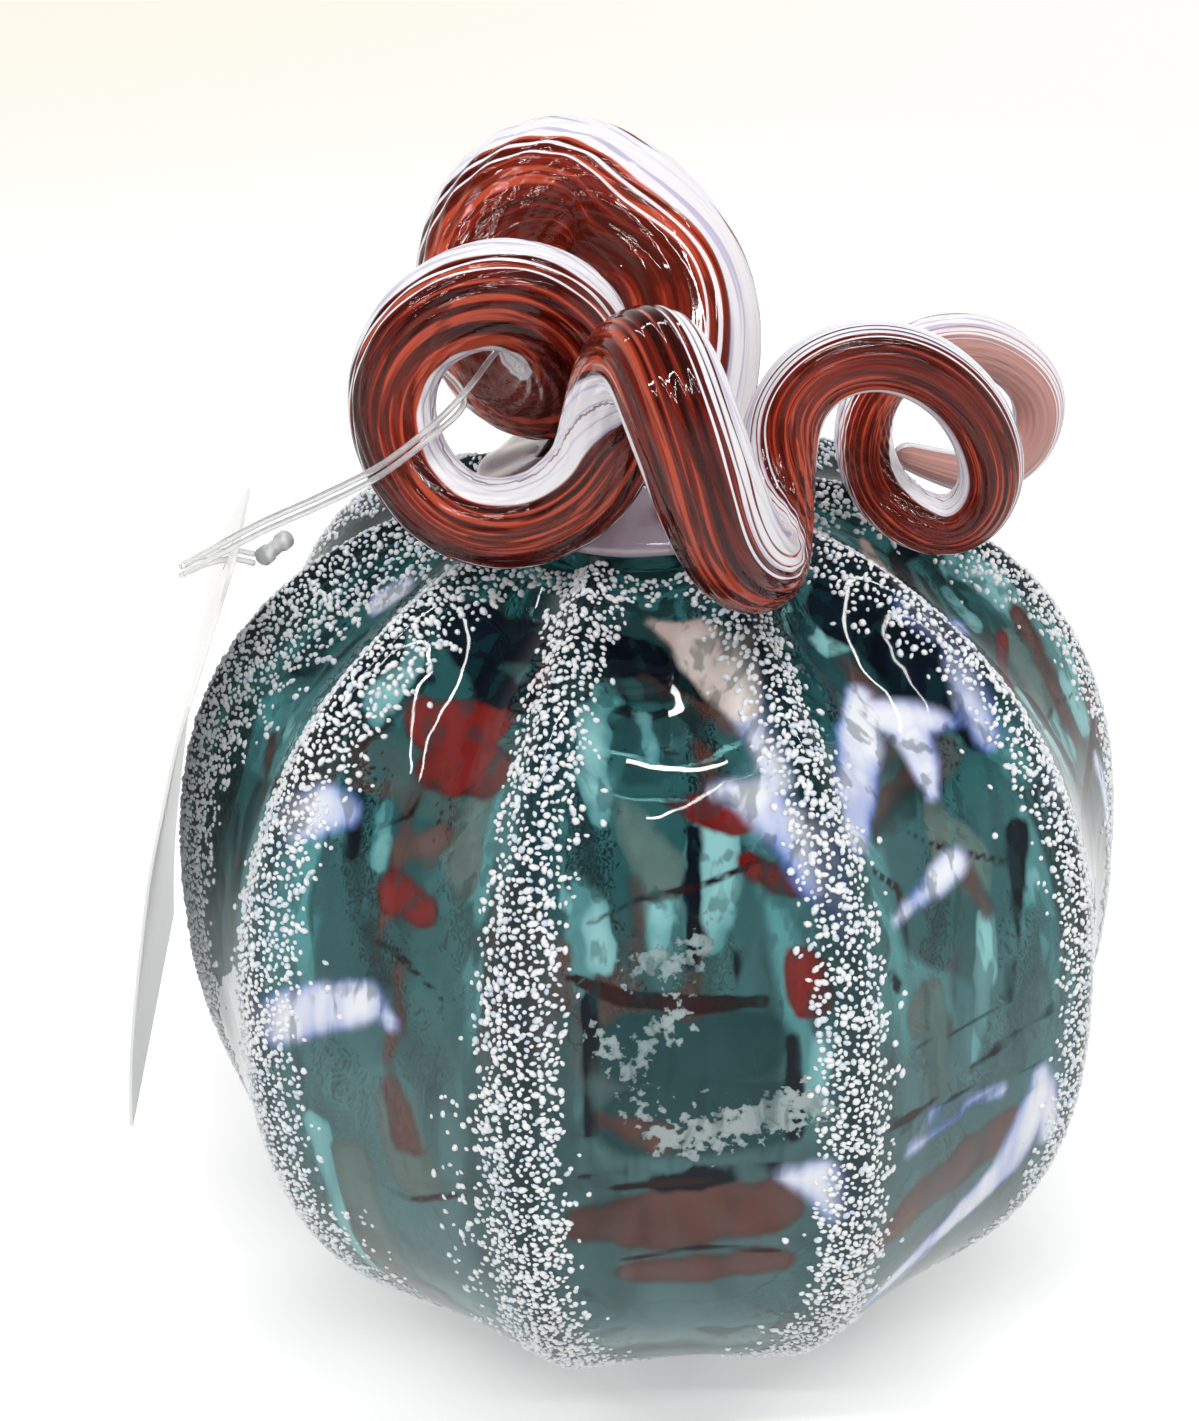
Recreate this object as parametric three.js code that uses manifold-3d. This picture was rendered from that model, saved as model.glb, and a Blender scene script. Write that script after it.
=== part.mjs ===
// Blown glass pumpkin with a curled glass stem and a blank hang tag on a clear loop.
// Millimetres, +Z up. The origin is the centre of the flat ring that the body stands on,
// and the front of the pumpkin looks along -Y.
import * as THREE from 'three';
import { mergeVertices } from 'three/addons/utils/BufferGeometryUtils.js';
import Module from 'manifold-3d';

// Clearances
const FIT_GAP = 0.3; // between pieces that lie on each other

// Body: a hollow ribbed shell
const RIB_COUNT = 10;
const FIRST_RIB_DEG = -14.5; // turn of the first rib, from the front towards +X
const BELLY_RADIUS = 66; // over the rib crests
const BELLY_HEIGHT = 56;
const BODY_HEIGHT = 121; // where the crown curve would close over the centre
const FOOT_RADIUS = 33;
const FOOT_RING_WIDTH = 7; // the flat ring that the body stands on
const PUNTY_DEPTH = 2.5; // the hollow inside the ring
const CROWN_FULLNESS = 2.5; // 2 is an ellipse, more is squarer
const KEEL_FULLNESS = 2.25;
const WALL = 4;
const INNER_RIBBING = 0.6; // how much of the ribbing the inside follows
const LIP_RADIUS = 22; // where the crown turns down to the seat of the stem
const SEAT_RADIUS = 15.5;
const SEAT_SINK = 2.4; // seat below the lip
const NECK_RADIUS = 7; // the hole under the stem
const VALLEY_AT_LIP = 3; // depth of the valleys between the ribs
const VALLEY_AT_SHOULDER = 6.5;
const VALLEY_AT_BELLY = 3.8;
const VALLEY_AT_FOOT = 1.6;
const SHOULDER_DEG = 52; // parametric height of the deepest valley
const CREST_ROUNDING = 0.12; // share of half a panel that the crest's nose takes
const CROWN_STEPS = 11;
const KEEL_STEPS = 8;
const CREST_STOP = 0.28; // half panels from a crest to the edge of its frit band
const PANEL_STOPS = [-0.62, -CREST_STOP, 0, CREST_STOP, 0.62, 1]; // 1 is mid-valley

// Frit: a raised band of white grains on each crest
const FRIT_CREST = 0.9;
const FRIT_EDGE = 0.5;
const FRIT_FOOT_HEIGHT = 3; // bottom of the bands above the surface

// Stem: one pulled and curled gather of glass
const COLLAR_RADIUS = 22.5;
const COLLAR_THICKNESS = 1.3;
const FLUTES = 12;
const FLUTE_DEPTH = 0.05; // share of the tube's radius
const FLUTE_TWIST_TURNS = 1.5; // along the whole stem
const STEM_STEPS = 104;
const ROOT_LENGTH = 16; // the rings lie level at the collar and stand square to the tube from here
const TIP_STEPS = 3;
// Centre line above the seat: x, y, height, tube diameter
const STEM_ROUTE = [
  // root, pulled up and back from the collar
  [0, 0, 4, 40], [1.3, 2.4, 6.6, 29.5], [3, 5.8, 9.8, 23.4], [4.7, 10, 14, 22],
  [5.4, 14.5, 18.6, 21.8], [4.2, 19, 23.2, 21.6],
  // tall loop at the back
  [0.8, 22.8, 27.6, 21.4], [-3.4, 25, 31.2, 21], [-9.5, 25.5, 33.8, 20.5], [-16, 22.5, 32.4, 19.6],
  [-20, 17.5, 26.5, 18.2], [-19, 10, 19, 16.6], [-13, 2.5, 16.4, 15.4], [-8, -3.5, 21, 15],
  // ring at the front left
  [-9, -8, 28.6, 14.6], [-15.5, -10, 32.8, 13.6], [-23, -12, 31.8, 12.2], [-28, -14, 27.8, 11],
  [-30, -16, 21, 10.6], [-28, -19, 14.6, 10.6], [-23.5, -22, 10.2, 10.6], [-17, -24, 8.8, 11],
  [-10, -24, 10.8, 11.4], [-5, -24, 16, 11.8], [-3, -24.5, 23, 12.2],
  // saddle over the front
  [-1, -28.5, 29.8, 12.4], [2, -36, 33.8, 12.4], [4.2, -42, 30.4, 12.4], [7, -43.5, 22.4, 12.4],
  [10, -41, 13.6, 12.2], [13.4, -34, 7.6, 11.6], [15, -26, 8.8, 10.6], [16, -21, 14, 9.8],
  // ring at the right
  [17.2, -18, 19.4, 9.2], [20.6, -17, 24.2, 8.8], [26.2, -17, 26.5, 8.6], [32.6, -17, 25.4, 8.4],
  [38.6, -17, 20.8, 8.2], [42, -17, 14.4, 8], [42.4, -16, 7.4, 7.8], [38.4, -14.5, 2.4, 7.6],
  [32.4, -13, 3.8, 7.6], [28.7, -6, 7, 7.5], [29, 2, 11.8, 7.4],
  // last curl, drawn out to the tip
  [34, 8, 16, 7.4], [41.5, 12, 16.8, 7.4], [49.2, 15, 13, 7.4], [53.8, 16, 6.6, 7.2],
  [52.4, 15, -0.2, 6.6], [46.6, 12, -2.6, 5.8], [39.4, 8.4, 0.6, 4.8], [35, 6.4, 3, 3.6],
];

// Hang tag: a blank card with clipped shoulders that leans on the flank
const TAG_LENGTH = 82;
const TAG_WIDTH = 51;
const TAG_TOP_WIDTH = 22;
const TAG_SHOULDER_DROP = 14;
const TAG_THICKNESS = 0.5;
const TAG_HOLE_DIAMETER = 4.5;
const TAG_HOLE_DROP = 5;
// Share of the card's length, and its lean there from upright, foot outwards
const TAG_LEANS_DEG = [
  [0, 24.6], [0.15, 24.2], [0.3, 16.4], [0.42, 17], [0.55, 12.6], [0.75, 12], [1, 5.5],
];
const TAG_LEAN_SLICES = 60;
const TAG_YAW_DEG = 3; // near edge turned in to the body
const TAG_TOP_INSET = 14.1; // top edge inside the belly's radius
const TAG_TOP_RISE = 61; // top edge above the belly
const TAG_SIDE_SHIFT = -3; // hole from the side line of the body, along Y
const TAG_ROWS = 12;

// Clear loop: centre route of its two strands from the lock to the stem, then once round the stem
const LOOP_DIAMETER = 0.8;
const LOOP_STRAND_OFFSET = new THREE.Vector3(0, 0.3, 0.5);
const LOOP_SIDES = 8;
const LOOP_STEPS = 80;
const LOOP_PAIR_ROUTE = [
  [-51.1, -1.7, 111.2], [-53.8, -3, 112.5], [-57, -6.6, 113.4], [-58.4, -11.5, 114.6],
  [-57.6, -15.8, 116.8], [-53.8, -19.4, 120.2], [-46, -22.2, 125.4], [-38, -24.4, 129.8],
  [-30.6, -25.6, 134], [-25, -23.4, 137.4], [-21, -17, 139.2],
];
const LOOP_ROUND_STEM = [
  [-17.8, -8, 141.1], [-13.4, 0.6, 144], [-9.6, 8, 143.6], [-8.4, 16, 140.9], [-10.8, 24, 138.2],
  [-18.4, 29, 137], [-27, 27, 136.4], [-31.6, 19, 136.4], [-31, 9, 137.4], [-26.8, -1, 138.6],
];
const LOCK_RADIUS = 1.3;
const LOCK_LENGTH = 6.4;
const LOCK_SIDES = 12;
const LOCK_START = new THREE.Vector3(-50.3, -1.05, 110.9);
const LOCK_TOWARDS = new THREE.Vector3(2.8, 5.7, 0.2);

const wasm = await Module();
wasm.setup();

const DEG = Math.PI / 180;

/** A closed geometry from points and triangles, turned so that its faces point out. */
function solidFrom(points, triangles) {
  let volume = 0;
  for (const [a, b, c] of triangles) {
    volume += points[a].dot(new THREE.Vector3().crossVectors(points[b], points[c]));
  }
  const ordered = volume > 0 ? triangles : triangles.map(([a, b, c]) => [a, c, b]);
  const geometry = new THREE.BufferGeometry();
  const flat = points.flatMap((point) => [point.x, point.y, point.z]);
  geometry.setAttribute('position', new THREE.Float32BufferAttribute(flat, 3));
  geometry.setIndex(ordered.flat());
  return geometry;
}

/** Joins rings of equal count, closed by a point or a flat fan at each end. */
function solidOfRings(rings, firstPole, lastPole) {
  const count = rings[0].length;
  const points = [...rings.flat(), firstPole, lastPole];
  const triangles = [];
  const first = points.length - 2;
  const last = points.length - 1;
  for (let step = 0; step < count; step += 1) {
    const next = (step + 1) % count;
    triangles.push([first, next, step]);
    for (let row = 0; row < rings.length - 1; row += 1) {
      const here = row * count;
      const above = here + count;
      triangles.push([here + step, here + next, above + next]);
      triangles.push([here + step, above + next, above + step]);
    }
    const top = (rings.length - 1) * count;
    triangles.push([last, top + step, top + next]);
  }
  return solidFrom(points, triangles);
}

/** A piece of solid A with solid B cut out of it. */
function cut(geometryA, geometryB) {
  const [solidA, solidB] = [geometryA, geometryB].map((geometry) => {
    const bare = geometry.clone();
    bare.deleteAttribute('normal');
    bare.deleteAttribute('uv');
    const merged = mergeVertices(bare);
    return new wasm.Manifold(new wasm.Mesh({
      numProp: 3,
      vertProperties: new Float32Array(merged.attributes.position.array),
      triVerts: new Uint32Array(merged.index.array),
    }));
  });
  const mesh = solidA.subtract(solidB).getMesh();
  const geometry = new THREE.BufferGeometry();
  geometry.setAttribute('position', new THREE.BufferAttribute(mesh.vertProperties, 3));
  geometry.setIndex(new THREE.BufferAttribute(mesh.triVerts, 1));
  return geometry;
}

function piece(name, geometry, finish) {
  const mesh = new THREE.Mesh(geometry, new THREE.MeshStandardMaterial(finish));
  mesh.name = name;
  return mesh;
}

// Body profile

const crownRise = BODY_HEIGHT - BELLY_HEIGHT;
const footShare = (FOOT_RADIUS / BELLY_RADIUS) ** KEEL_FULLNESS;
const keelDrop = BELLY_HEIGHT / (1 - footShare) ** (1 / KEEL_FULLNESS);

/** Station on the crown or keel curve: its place, its outward normal and its valley depth. */
function curveStation(angle, rise, fullness, valley) {
  const out = Math.cos(angle) ** (2 / fullness);
  const up = Math.abs(Math.sin(angle)) ** (2 / fullness);
  const normal = new THREE.Vector2(
    out ** (fullness - 1) / BELLY_RADIUS,
    (up ** (fullness - 1) / Math.abs(rise)) * Math.sign(rise),
  ).normalize();
  return { radius: BELLY_RADIUS * out, height: BELLY_HEIGHT + rise * up, normal, valley };
}

const lipAngle = Math.acos((LIP_RADIUS / BELLY_RADIUS) ** (CROWN_FULLNESS / 2));
const footAngle = Math.acos((FOOT_RADIUS / BELLY_RADIUS) ** (KEEL_FULLNESS / 2));

function crownValley(angle) {
  const shoulder = SHOULDER_DEG * DEG;
  if (angle > shoulder) {
    const rise = THREE.MathUtils.smoothstep(angle, shoulder, lipAngle);
    return THREE.MathUtils.lerp(VALLEY_AT_SHOULDER, VALLEY_AT_LIP, rise);
  }
  const rise = THREE.MathUtils.smoothstep(angle, 0, shoulder);
  return THREE.MathUtils.lerp(VALLEY_AT_BELLY, VALLEY_AT_SHOULDER, rise);
}

function crownStation(angle) {
  return curveStation(angle, crownRise, CROWN_FULLNESS, crownValley(angle));
}

function keelStation(angle) {
  const valley = THREE.MathUtils.lerp(VALLEY_AT_BELLY, VALLEY_AT_FOOT, angle / footAngle);
  return curveStation(angle, -keelDrop, KEEL_FULLNESS, valley);
}

/** Stations from the foot up to the lip. */
function wallStations() {
  const stations = [];
  for (let step = KEEL_STEPS; step > 0; step -= 1) {
    stations.push(keelStation((footAngle * step) / KEEL_STEPS));
  }
  for (let step = 0; step <= CROWN_STEPS; step += 1) {
    stations.push(crownStation((lipAngle * step) / CROWN_STEPS));
  }
  return stations;
}

/** How deep the wall lies at a share of half a panel from its crest: 0 on the crest, 1 mid-valley. */
function valleyShape(share) {
  const rounded = Math.hypot(share, CREST_ROUNDING) - CREST_ROUNDING;
  const even = rounded / (Math.hypot(1, CREST_ROUNDING) - CREST_ROUNDING);
  return even * (2 - even);
}

/** Point of the wall at a station, beside rib number rib, at an offset along the normal. */
function wallPoint(station, rib, share, offset, ribbing = 1) {
  const out = offset - station.valley * valleyShape(Math.abs(share)) * ribbing;
  const radius = station.radius + station.normal.x * out;
  const height = station.height + station.normal.y * out;
  const turn = (FIRST_RIB_DEG + ((rib + share / 2) * 360) / RIB_COUNT) * DEG;
  return new THREE.Vector3(radius * Math.sin(turn), -radius * Math.cos(turn), height);
}

function wallRing(station, offset, ribbing) {
  const ring = [];
  for (let rib = 0; rib < RIB_COUNT; rib += 1) {
    for (const share of PANEL_STOPS) ring.push(wallPoint(station, rib, share, offset, ribbing));
  }
  return ring;
}

/** A level ring without ribs. */
function plainRing(radius, height) {
  const flat = { radius, height, normal: new THREE.Vector2(0, 1), valley: 0 };
  return wallRing(flat, 0, 0);
}

const stations = wallStations();
const lipHeight = stations.at(-1).height;
const seatHeight = lipHeight - SEAT_SINK;

function makeBody() {
  const footRingInner = FOOT_RADIUS - FOOT_RING_WIDTH;
  const foot = stations[0];
  const standing = stations.map((station) => wallRing(station, 0, 1));
  for (const point of standing[0]) point.z = 0;
  const inside = stations.filter((station, index) => index % 2 === 1 || station === foot)
    .map((station) => wallRing(station, -WALL, INNER_RIBBING));
  const rings = [
    plainRing(footRingInner, 0),
    ...standing,
    plainRing(SEAT_RADIUS, seatHeight),
    plainRing(NECK_RADIUS, seatHeight),
    plainRing(NECK_RADIUS, seatHeight - WALL),
    ...inside.reverse(),
    plainRing(footRingInner, WALL),
  ];
  return solidOfRings(
    rings,
    new THREE.Vector3(0, 0, PUNTY_DEPTH),
    new THREE.Vector3(0, 0, PUNTY_DEPTH + WALL),
  );
}

// Frit bands

function makeFritBand(rib) {
  const banded = stations.filter((station) => (
    station.height > FRIT_FOOT_HEIGHT && station.radius > COLLAR_RADIUS + FIT_GAP
  ));
  const rings = banded.map((station) => {
    const under = [-CREST_STOP, 0, CREST_STOP];
    const over = [[CREST_STOP, FRIT_EDGE], [0, FRIT_CREST], [-CREST_STOP, FRIT_EDGE]];
    return [
      ...under.map((share) => wallPoint(station, rib, share, FIT_GAP)),
      ...over.map(([share, raise]) => wallPoint(station, rib, share, FIT_GAP + raise)),
    ];
  });
  const middle = (ring) => new THREE.Vector3().lerpVectors(ring[1], ring[4], 0.5);
  return solidOfRings(rings, middle(rings[0]), middle(rings.at(-1)));
}

// Stem

function stemRing(centre, across, along, radius, twist) {
  const ring = [];
  const points = FLUTES * 2;
  for (let step = 0; step < points; step += 1) {
    const angle = (step / points) * 2 * Math.PI + twist;
    const reach = step % 2 === 0 ? radius : radius * (1 - FLUTE_DEPTH);
    ring.push(new THREE.Vector3()
      .copy(centre)
      .addScaledVector(across, reach * Math.cos(angle))
      .addScaledVector(along, reach * Math.sin(angle)));
  }
  return ring;
}

function makeStem() {
  const places = STEM_ROUTE.map(([x, y, up]) => new THREE.Vector3(x, y, seatHeight + up));
  const route = new THREE.CatmullRomCurve3(places, false, 'centripetal');
  const widths = STEM_ROUTE.map(([, , , width], index) => new THREE.Vector2(index, width));
  const taper = new THREE.SplineCurve(widths);
  const length = route.getLength();
  const upward = new THREE.Vector3(0, 0, 1);
  let across = new THREE.Vector3(1, 0, 0);
  const collarTop = lipHeight + FIT_GAP + FRIT_CREST + COLLAR_THICKNESS;
  const level = (radius, height) => stemRing(
    new THREE.Vector3(0, 0, height), across, new THREE.Vector3(0, 1, 0), radius, 0,
  );
  const rings = [
    level(SEAT_RADIUS - FIT_GAP, seatHeight + FIT_GAP),
    level(COLLAR_RADIUS, lipHeight + FIT_GAP),
    level(COLLAR_RADIUS, collarTop - COLLAR_THICKNESS / 2),
  ];
  let normal = upward;
  let centre = places[0];
  let radius = 0;
  for (let step = 0; step <= STEM_STEPS; step += 1) {
    const share = step / STEM_STEPS;
    centre = route.getPointAt(share);
    const tangent = route.getTangentAt(share);
    const lean = THREE.MathUtils.smoothstep(share * length, 0, ROOT_LENGTH);
    normal = new THREE.Vector3().lerpVectors(upward, tangent, lean).normalize();
    across = across.clone().addScaledVector(normal, -across.dot(normal)).normalize();
    const along = new THREE.Vector3().crossVectors(normal, across);
    radius = taper.getPoint(route.getUtoTmapping(share)).y / 2;
    const twist = 2 * Math.PI * FLUTE_TWIST_TURNS * share;
    rings.push(stemRing(centre, across, along, radius, twist));
  }
  for (let step = 1; step < TIP_STEPS; step += 1) {
    const angle = (step / TIP_STEPS) * (Math.PI / 2);
    const beyond = centre.clone().addScaledVector(normal, radius * Math.sin(angle));
    const along = new THREE.Vector3().crossVectors(normal, across);
    const twist = 2 * Math.PI * FLUTE_TWIST_TURNS;
    rings.push(stemRing(beyond, across, along, radius * Math.cos(angle), twist));
  }
  const tip = centre.clone().addScaledVector(normal, radius);
  return solidOfRings(rings, new THREE.Vector3(0, 0, seatHeight + FIT_GAP), tip);
}

// Hang tag

/** The card's lean at a distance below its top edge, in radians. */
function tagLean(down) {
  const share = Math.min(down / TAG_LENGTH, 1);
  const after = Math.max(TAG_LEANS_DEG.findIndex(([place]) => place >= share), 1);
  const [[low, from], [high, to]] = [TAG_LEANS_DEG[after - 1], TAG_LEANS_DEG[after]];
  return THREE.MathUtils.mapLinear(share, low, high, from, to) * DEG;
}

/** Place on the card's middle face, down from its top edge and across from its centre line. */
function tagPoint(down, across) {
  let out = 0;
  let drop = 0;
  for (let slice = 0; slice < TAG_LEAN_SLICES; slice += 1) {
    const along = tagLean((down * (slice + 0.5)) / TAG_LEAN_SLICES);
    out += (Math.sin(along) * down) / TAG_LEAN_SLICES;
    drop += (Math.cos(along) * down) / TAG_LEAN_SLICES;
  }
  const lean = tagLean(down);
  const yaw = TAG_YAW_DEG * DEG;
  const point = new THREE.Vector3(
    -(BELLY_RADIUS - TAG_TOP_INSET) - out - across * Math.sin(yaw),
    TAG_SIDE_SHIFT + across * Math.cos(yaw),
    BELLY_HEIGHT + TAG_TOP_RISE - drop,
  );
  const outward = new THREE.Vector3(
    -Math.cos(lean) * Math.cos(yaw),
    -Math.cos(lean) * Math.sin(yaw),
    Math.sin(lean),
  );
  return { point, outward };
}

function makeTagCard() {
  const downs = [0];
  for (let row = 1; row <= TAG_ROWS; row += 1) {
    downs.push(TAG_SHOULDER_DROP + ((TAG_LENGTH - TAG_SHOULDER_DROP) * (row - 1)) / (TAG_ROWS - 1));
  }
  downs.splice(1, 0, TAG_SHOULDER_DROP / 3, (TAG_SHOULDER_DROP * 2) / 3);
  const corner = (down, side, face) => {
    const widening = Math.min(down / TAG_SHOULDER_DROP, 1);
    const half = THREE.MathUtils.lerp(TAG_TOP_WIDTH, TAG_WIDTH, widening) / 2;
    const { point, outward } = tagPoint(down, side * half);
    return point.addScaledVector(outward, (face * TAG_THICKNESS) / 2);
  };
  const rings = downs.map((down) => [
    corner(down, -1, 1), corner(down, 0, 1), corner(down, 1, 1),
    corner(down, 1, -1), corner(down, 0, -1), corner(down, -1, -1),
  ]);
  const middle = (ring) => new THREE.Vector3().lerpVectors(ring[1], ring[4], 0.5);
  const card = solidOfRings(rings, middle(rings[0]), middle(rings.at(-1)));
  const { point, outward } = tagPoint(TAG_HOLE_DROP, 0);
  const punch = new THREE.CylinderGeometry(
    TAG_HOLE_DIAMETER / 2, TAG_HOLE_DIAMETER / 2, TAG_THICKNESS * 8, 20,
  );
  punch.applyQuaternion(new THREE.Quaternion().setFromUnitVectors(new THREE.Vector3(0, 1, 0), outward));
  punch.translate(point.x, point.y, point.z);
  return cut(card, punch);
}

// Clear loop and its lock

function roundRing(centre, across, along, radius) {
  const ring = [];
  for (let side = 0; side < LOCK_SIDES; side += 1) {
    const angle = (side / LOCK_SIDES) * 2 * Math.PI;
    ring.push(centre.clone()
      .addScaledVector(across, radius * Math.cos(angle))
      .addScaledVector(along, radius * Math.sin(angle)));
  }
  return ring;
}

function makeLoop() {
  const pair = LOOP_PAIR_ROUTE.map((place) => new THREE.Vector3(...place));
  const away = pair.map((place) => place.clone().add(LOOP_STRAND_OFFSET));
  const back = pair.map((place) => place.clone().sub(LOOP_STRAND_OFFSET)).reverse();
  const round = LOOP_ROUND_STEM.map((place) => new THREE.Vector3(...place));
  const route = new THREE.CatmullRomCurve3([...away, ...round, ...back], false, 'centripetal');
  const outline = [];
  for (let side = 0; side < LOOP_SIDES; side += 1) {
    const angle = (side / LOOP_SIDES) * 2 * Math.PI;
    outline.push(new THREE.Vector2(Math.cos(angle), Math.sin(angle)).multiplyScalar(LOOP_DIAMETER / 2));
  }
  const section = new THREE.Shape(outline);
  return new THREE.ExtrudeGeometry(section, { steps: LOOP_STEPS, extrudePath: route });
}

function makeLock() {
  const waist = LOCK_RADIUS * 0.8;
  const profile = [
    [0, waist], [0.07, LOCK_RADIUS], [0.25, LOCK_RADIUS], [0.3, waist],
    [0.7, waist], [0.75, LOCK_RADIUS], [0.93, LOCK_RADIUS], [1, waist],
  ];
  const axis = LOCK_TOWARDS.clone().normalize();
  const across = new THREE.Vector3().crossVectors(axis, new THREE.Vector3(0, 0, 1)).normalize();
  const along = new THREE.Vector3().crossVectors(axis, across);
  const at = (share) => LOCK_START.clone().addScaledVector(axis, LOCK_LENGTH * share);
  const rings = profile.map(([share, radius]) => roundRing(at(share), across, along, radius));
  return solidOfRings(rings, at(0), at(1));
}

// Assembly

const glassFinish = { color: 0x1d5a5c, roughness: 0.05, metalness: 0, transparent: true, opacity: 0.8 };
const fritFinish = { color: 0xe6ebee, roughness: 0.35, metalness: 0 };
const stemFinish = { color: 0x8c2318, roughness: 0.05, metalness: 0, transparent: true, opacity: 0.85 };
const cardFinish = { color: 0xf2f0ec, roughness: 0.3, metalness: 0 };
const clearFinish = { color: 0xe8e8e8, roughness: 0.15, metalness: 0, transparent: true, opacity: 0.5 };

const pumpkin = new THREE.Group();
pumpkin.add(piece('glass_body', makeBody(), glassFinish));
for (let rib = 0; rib < RIB_COUNT; rib += 1) {
  const name = `rib_frit_${String(rib + 1).padStart(2, '0')}`;
  pumpkin.add(piece(name, makeFritBand(rib), fritFinish));
}
pumpkin.add(piece('curled_stem', makeStem(), stemFinish));
pumpkin.add(piece('tag_card', makeTagCard(), cardFinish));
pumpkin.add(piece('tag_loop', makeLoop(), clearFinish));
pumpkin.add(piece('tag_lock', makeLock(), clearFinish));

export default pumpkin;
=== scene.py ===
"""Looks of the blown glass pumpkin, dressed around its fixed frame.

Metres, +Z up, the front of the pumpkin towards -Y. Lengths that are easier to read in millimetres
are written as a number times MM.
"""
import logging
import math
from dataclasses import dataclass, field
from enum import Enum
from typing import Any, Sequence

import bmesh
import bpy
import numpy as np
from mathutils import Matrix, Vector

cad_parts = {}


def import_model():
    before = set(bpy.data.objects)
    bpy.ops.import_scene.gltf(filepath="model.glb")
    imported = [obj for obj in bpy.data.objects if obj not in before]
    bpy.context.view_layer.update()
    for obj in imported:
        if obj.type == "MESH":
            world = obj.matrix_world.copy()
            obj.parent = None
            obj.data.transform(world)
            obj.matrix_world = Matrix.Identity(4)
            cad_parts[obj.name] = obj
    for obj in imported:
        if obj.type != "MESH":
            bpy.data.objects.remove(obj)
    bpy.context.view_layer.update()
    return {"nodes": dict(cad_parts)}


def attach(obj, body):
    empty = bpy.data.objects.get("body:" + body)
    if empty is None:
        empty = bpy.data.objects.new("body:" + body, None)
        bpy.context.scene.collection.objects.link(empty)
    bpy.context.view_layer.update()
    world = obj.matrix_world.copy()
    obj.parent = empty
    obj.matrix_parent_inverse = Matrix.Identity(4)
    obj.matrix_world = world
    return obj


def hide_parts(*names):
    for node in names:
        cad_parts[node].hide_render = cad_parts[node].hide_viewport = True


log = logging.getLogger("glass_pumpkin")

MM = 0.001
PHOTO_HEIGHT_PX = 1421

Colour = tuple[float, float, float]
Span = tuple[float, float]


def smooth(value: np.ndarray, low: float, high: float) -> np.ndarray:
    """Smooth step of an array from 0 at low to 1 at high."""
    share = np.clip((value - low) / (high - low), 0.0, 1.0)
    return share * share * (3.0 - 2.0 * share)


def unit_rows(rows: np.ndarray) -> np.ndarray:
    """Each row scaled to a length of one."""
    return rows / np.linalg.norm(rows, axis=1, keepdims=True)


def run_along(points: np.ndarray) -> np.ndarray:
    """Length along a line at each of its points."""
    return np.concatenate([[0.0], np.cumsum(np.linalg.norm(np.diff(points, axis=0), axis=1))])


def curve_through(knots: np.ndarray, parts: int) -> tuple[np.ndarray, np.ndarray]:
    """Centripetal curve through points, which makes no loop where they crowd.

    Args:
        knots: one row per point that the curve passes.
        parts: steps between one of them and the next.

    Returns:
        Points of the curve, and how many knots the curve has passed at each of them.
    """
    gaps = np.linalg.norm(np.diff(knots, axis=0), axis=1) ** 0.5
    times = np.concatenate([[0.0], np.cumsum(gaps)])
    padded = np.vstack([2 * knots[0] - knots[1], knots, 2 * knots[-1] - knots[-2]])
    stamps = np.concatenate([[times[0] - gaps[0]], times, [times[-1] + gaps[-1]]])

    def between(t: float, t_a: float, a: np.ndarray, t_b: float, b: np.ndarray) -> np.ndarray:
        """Straight between a at its time and b at its time."""
        return a * (t_b - t) / (t_b - t_a) + b * (t - t_a) / (t_b - t_a)

    line, passed = [], []
    for step in range(len(knots) - 1):
        t0, t1, t2, t3 = stamps[step:step + 4]
        p0, p1, p2, p3 = padded[step:step + 4]
        for t in np.linspace(t1, t2, parts, endpoint=False):
            before = between(t, t0, p0, t1, p1)
            middle = between(t, t1, p1, t2, p2)
            after = between(t, t2, p2, t3, p3)
            first, second = between(t, t0, before, t2, middle), between(t, t1, middle, t3, after)
            line.append(between(t, t1, first, t2, second))
            passed.append(step + (t - t1) / (t2 - t1))
    return np.array([*line, knots[-1]]), np.array([*passed, len(knots) - 1.0])


# Node trees


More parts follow.
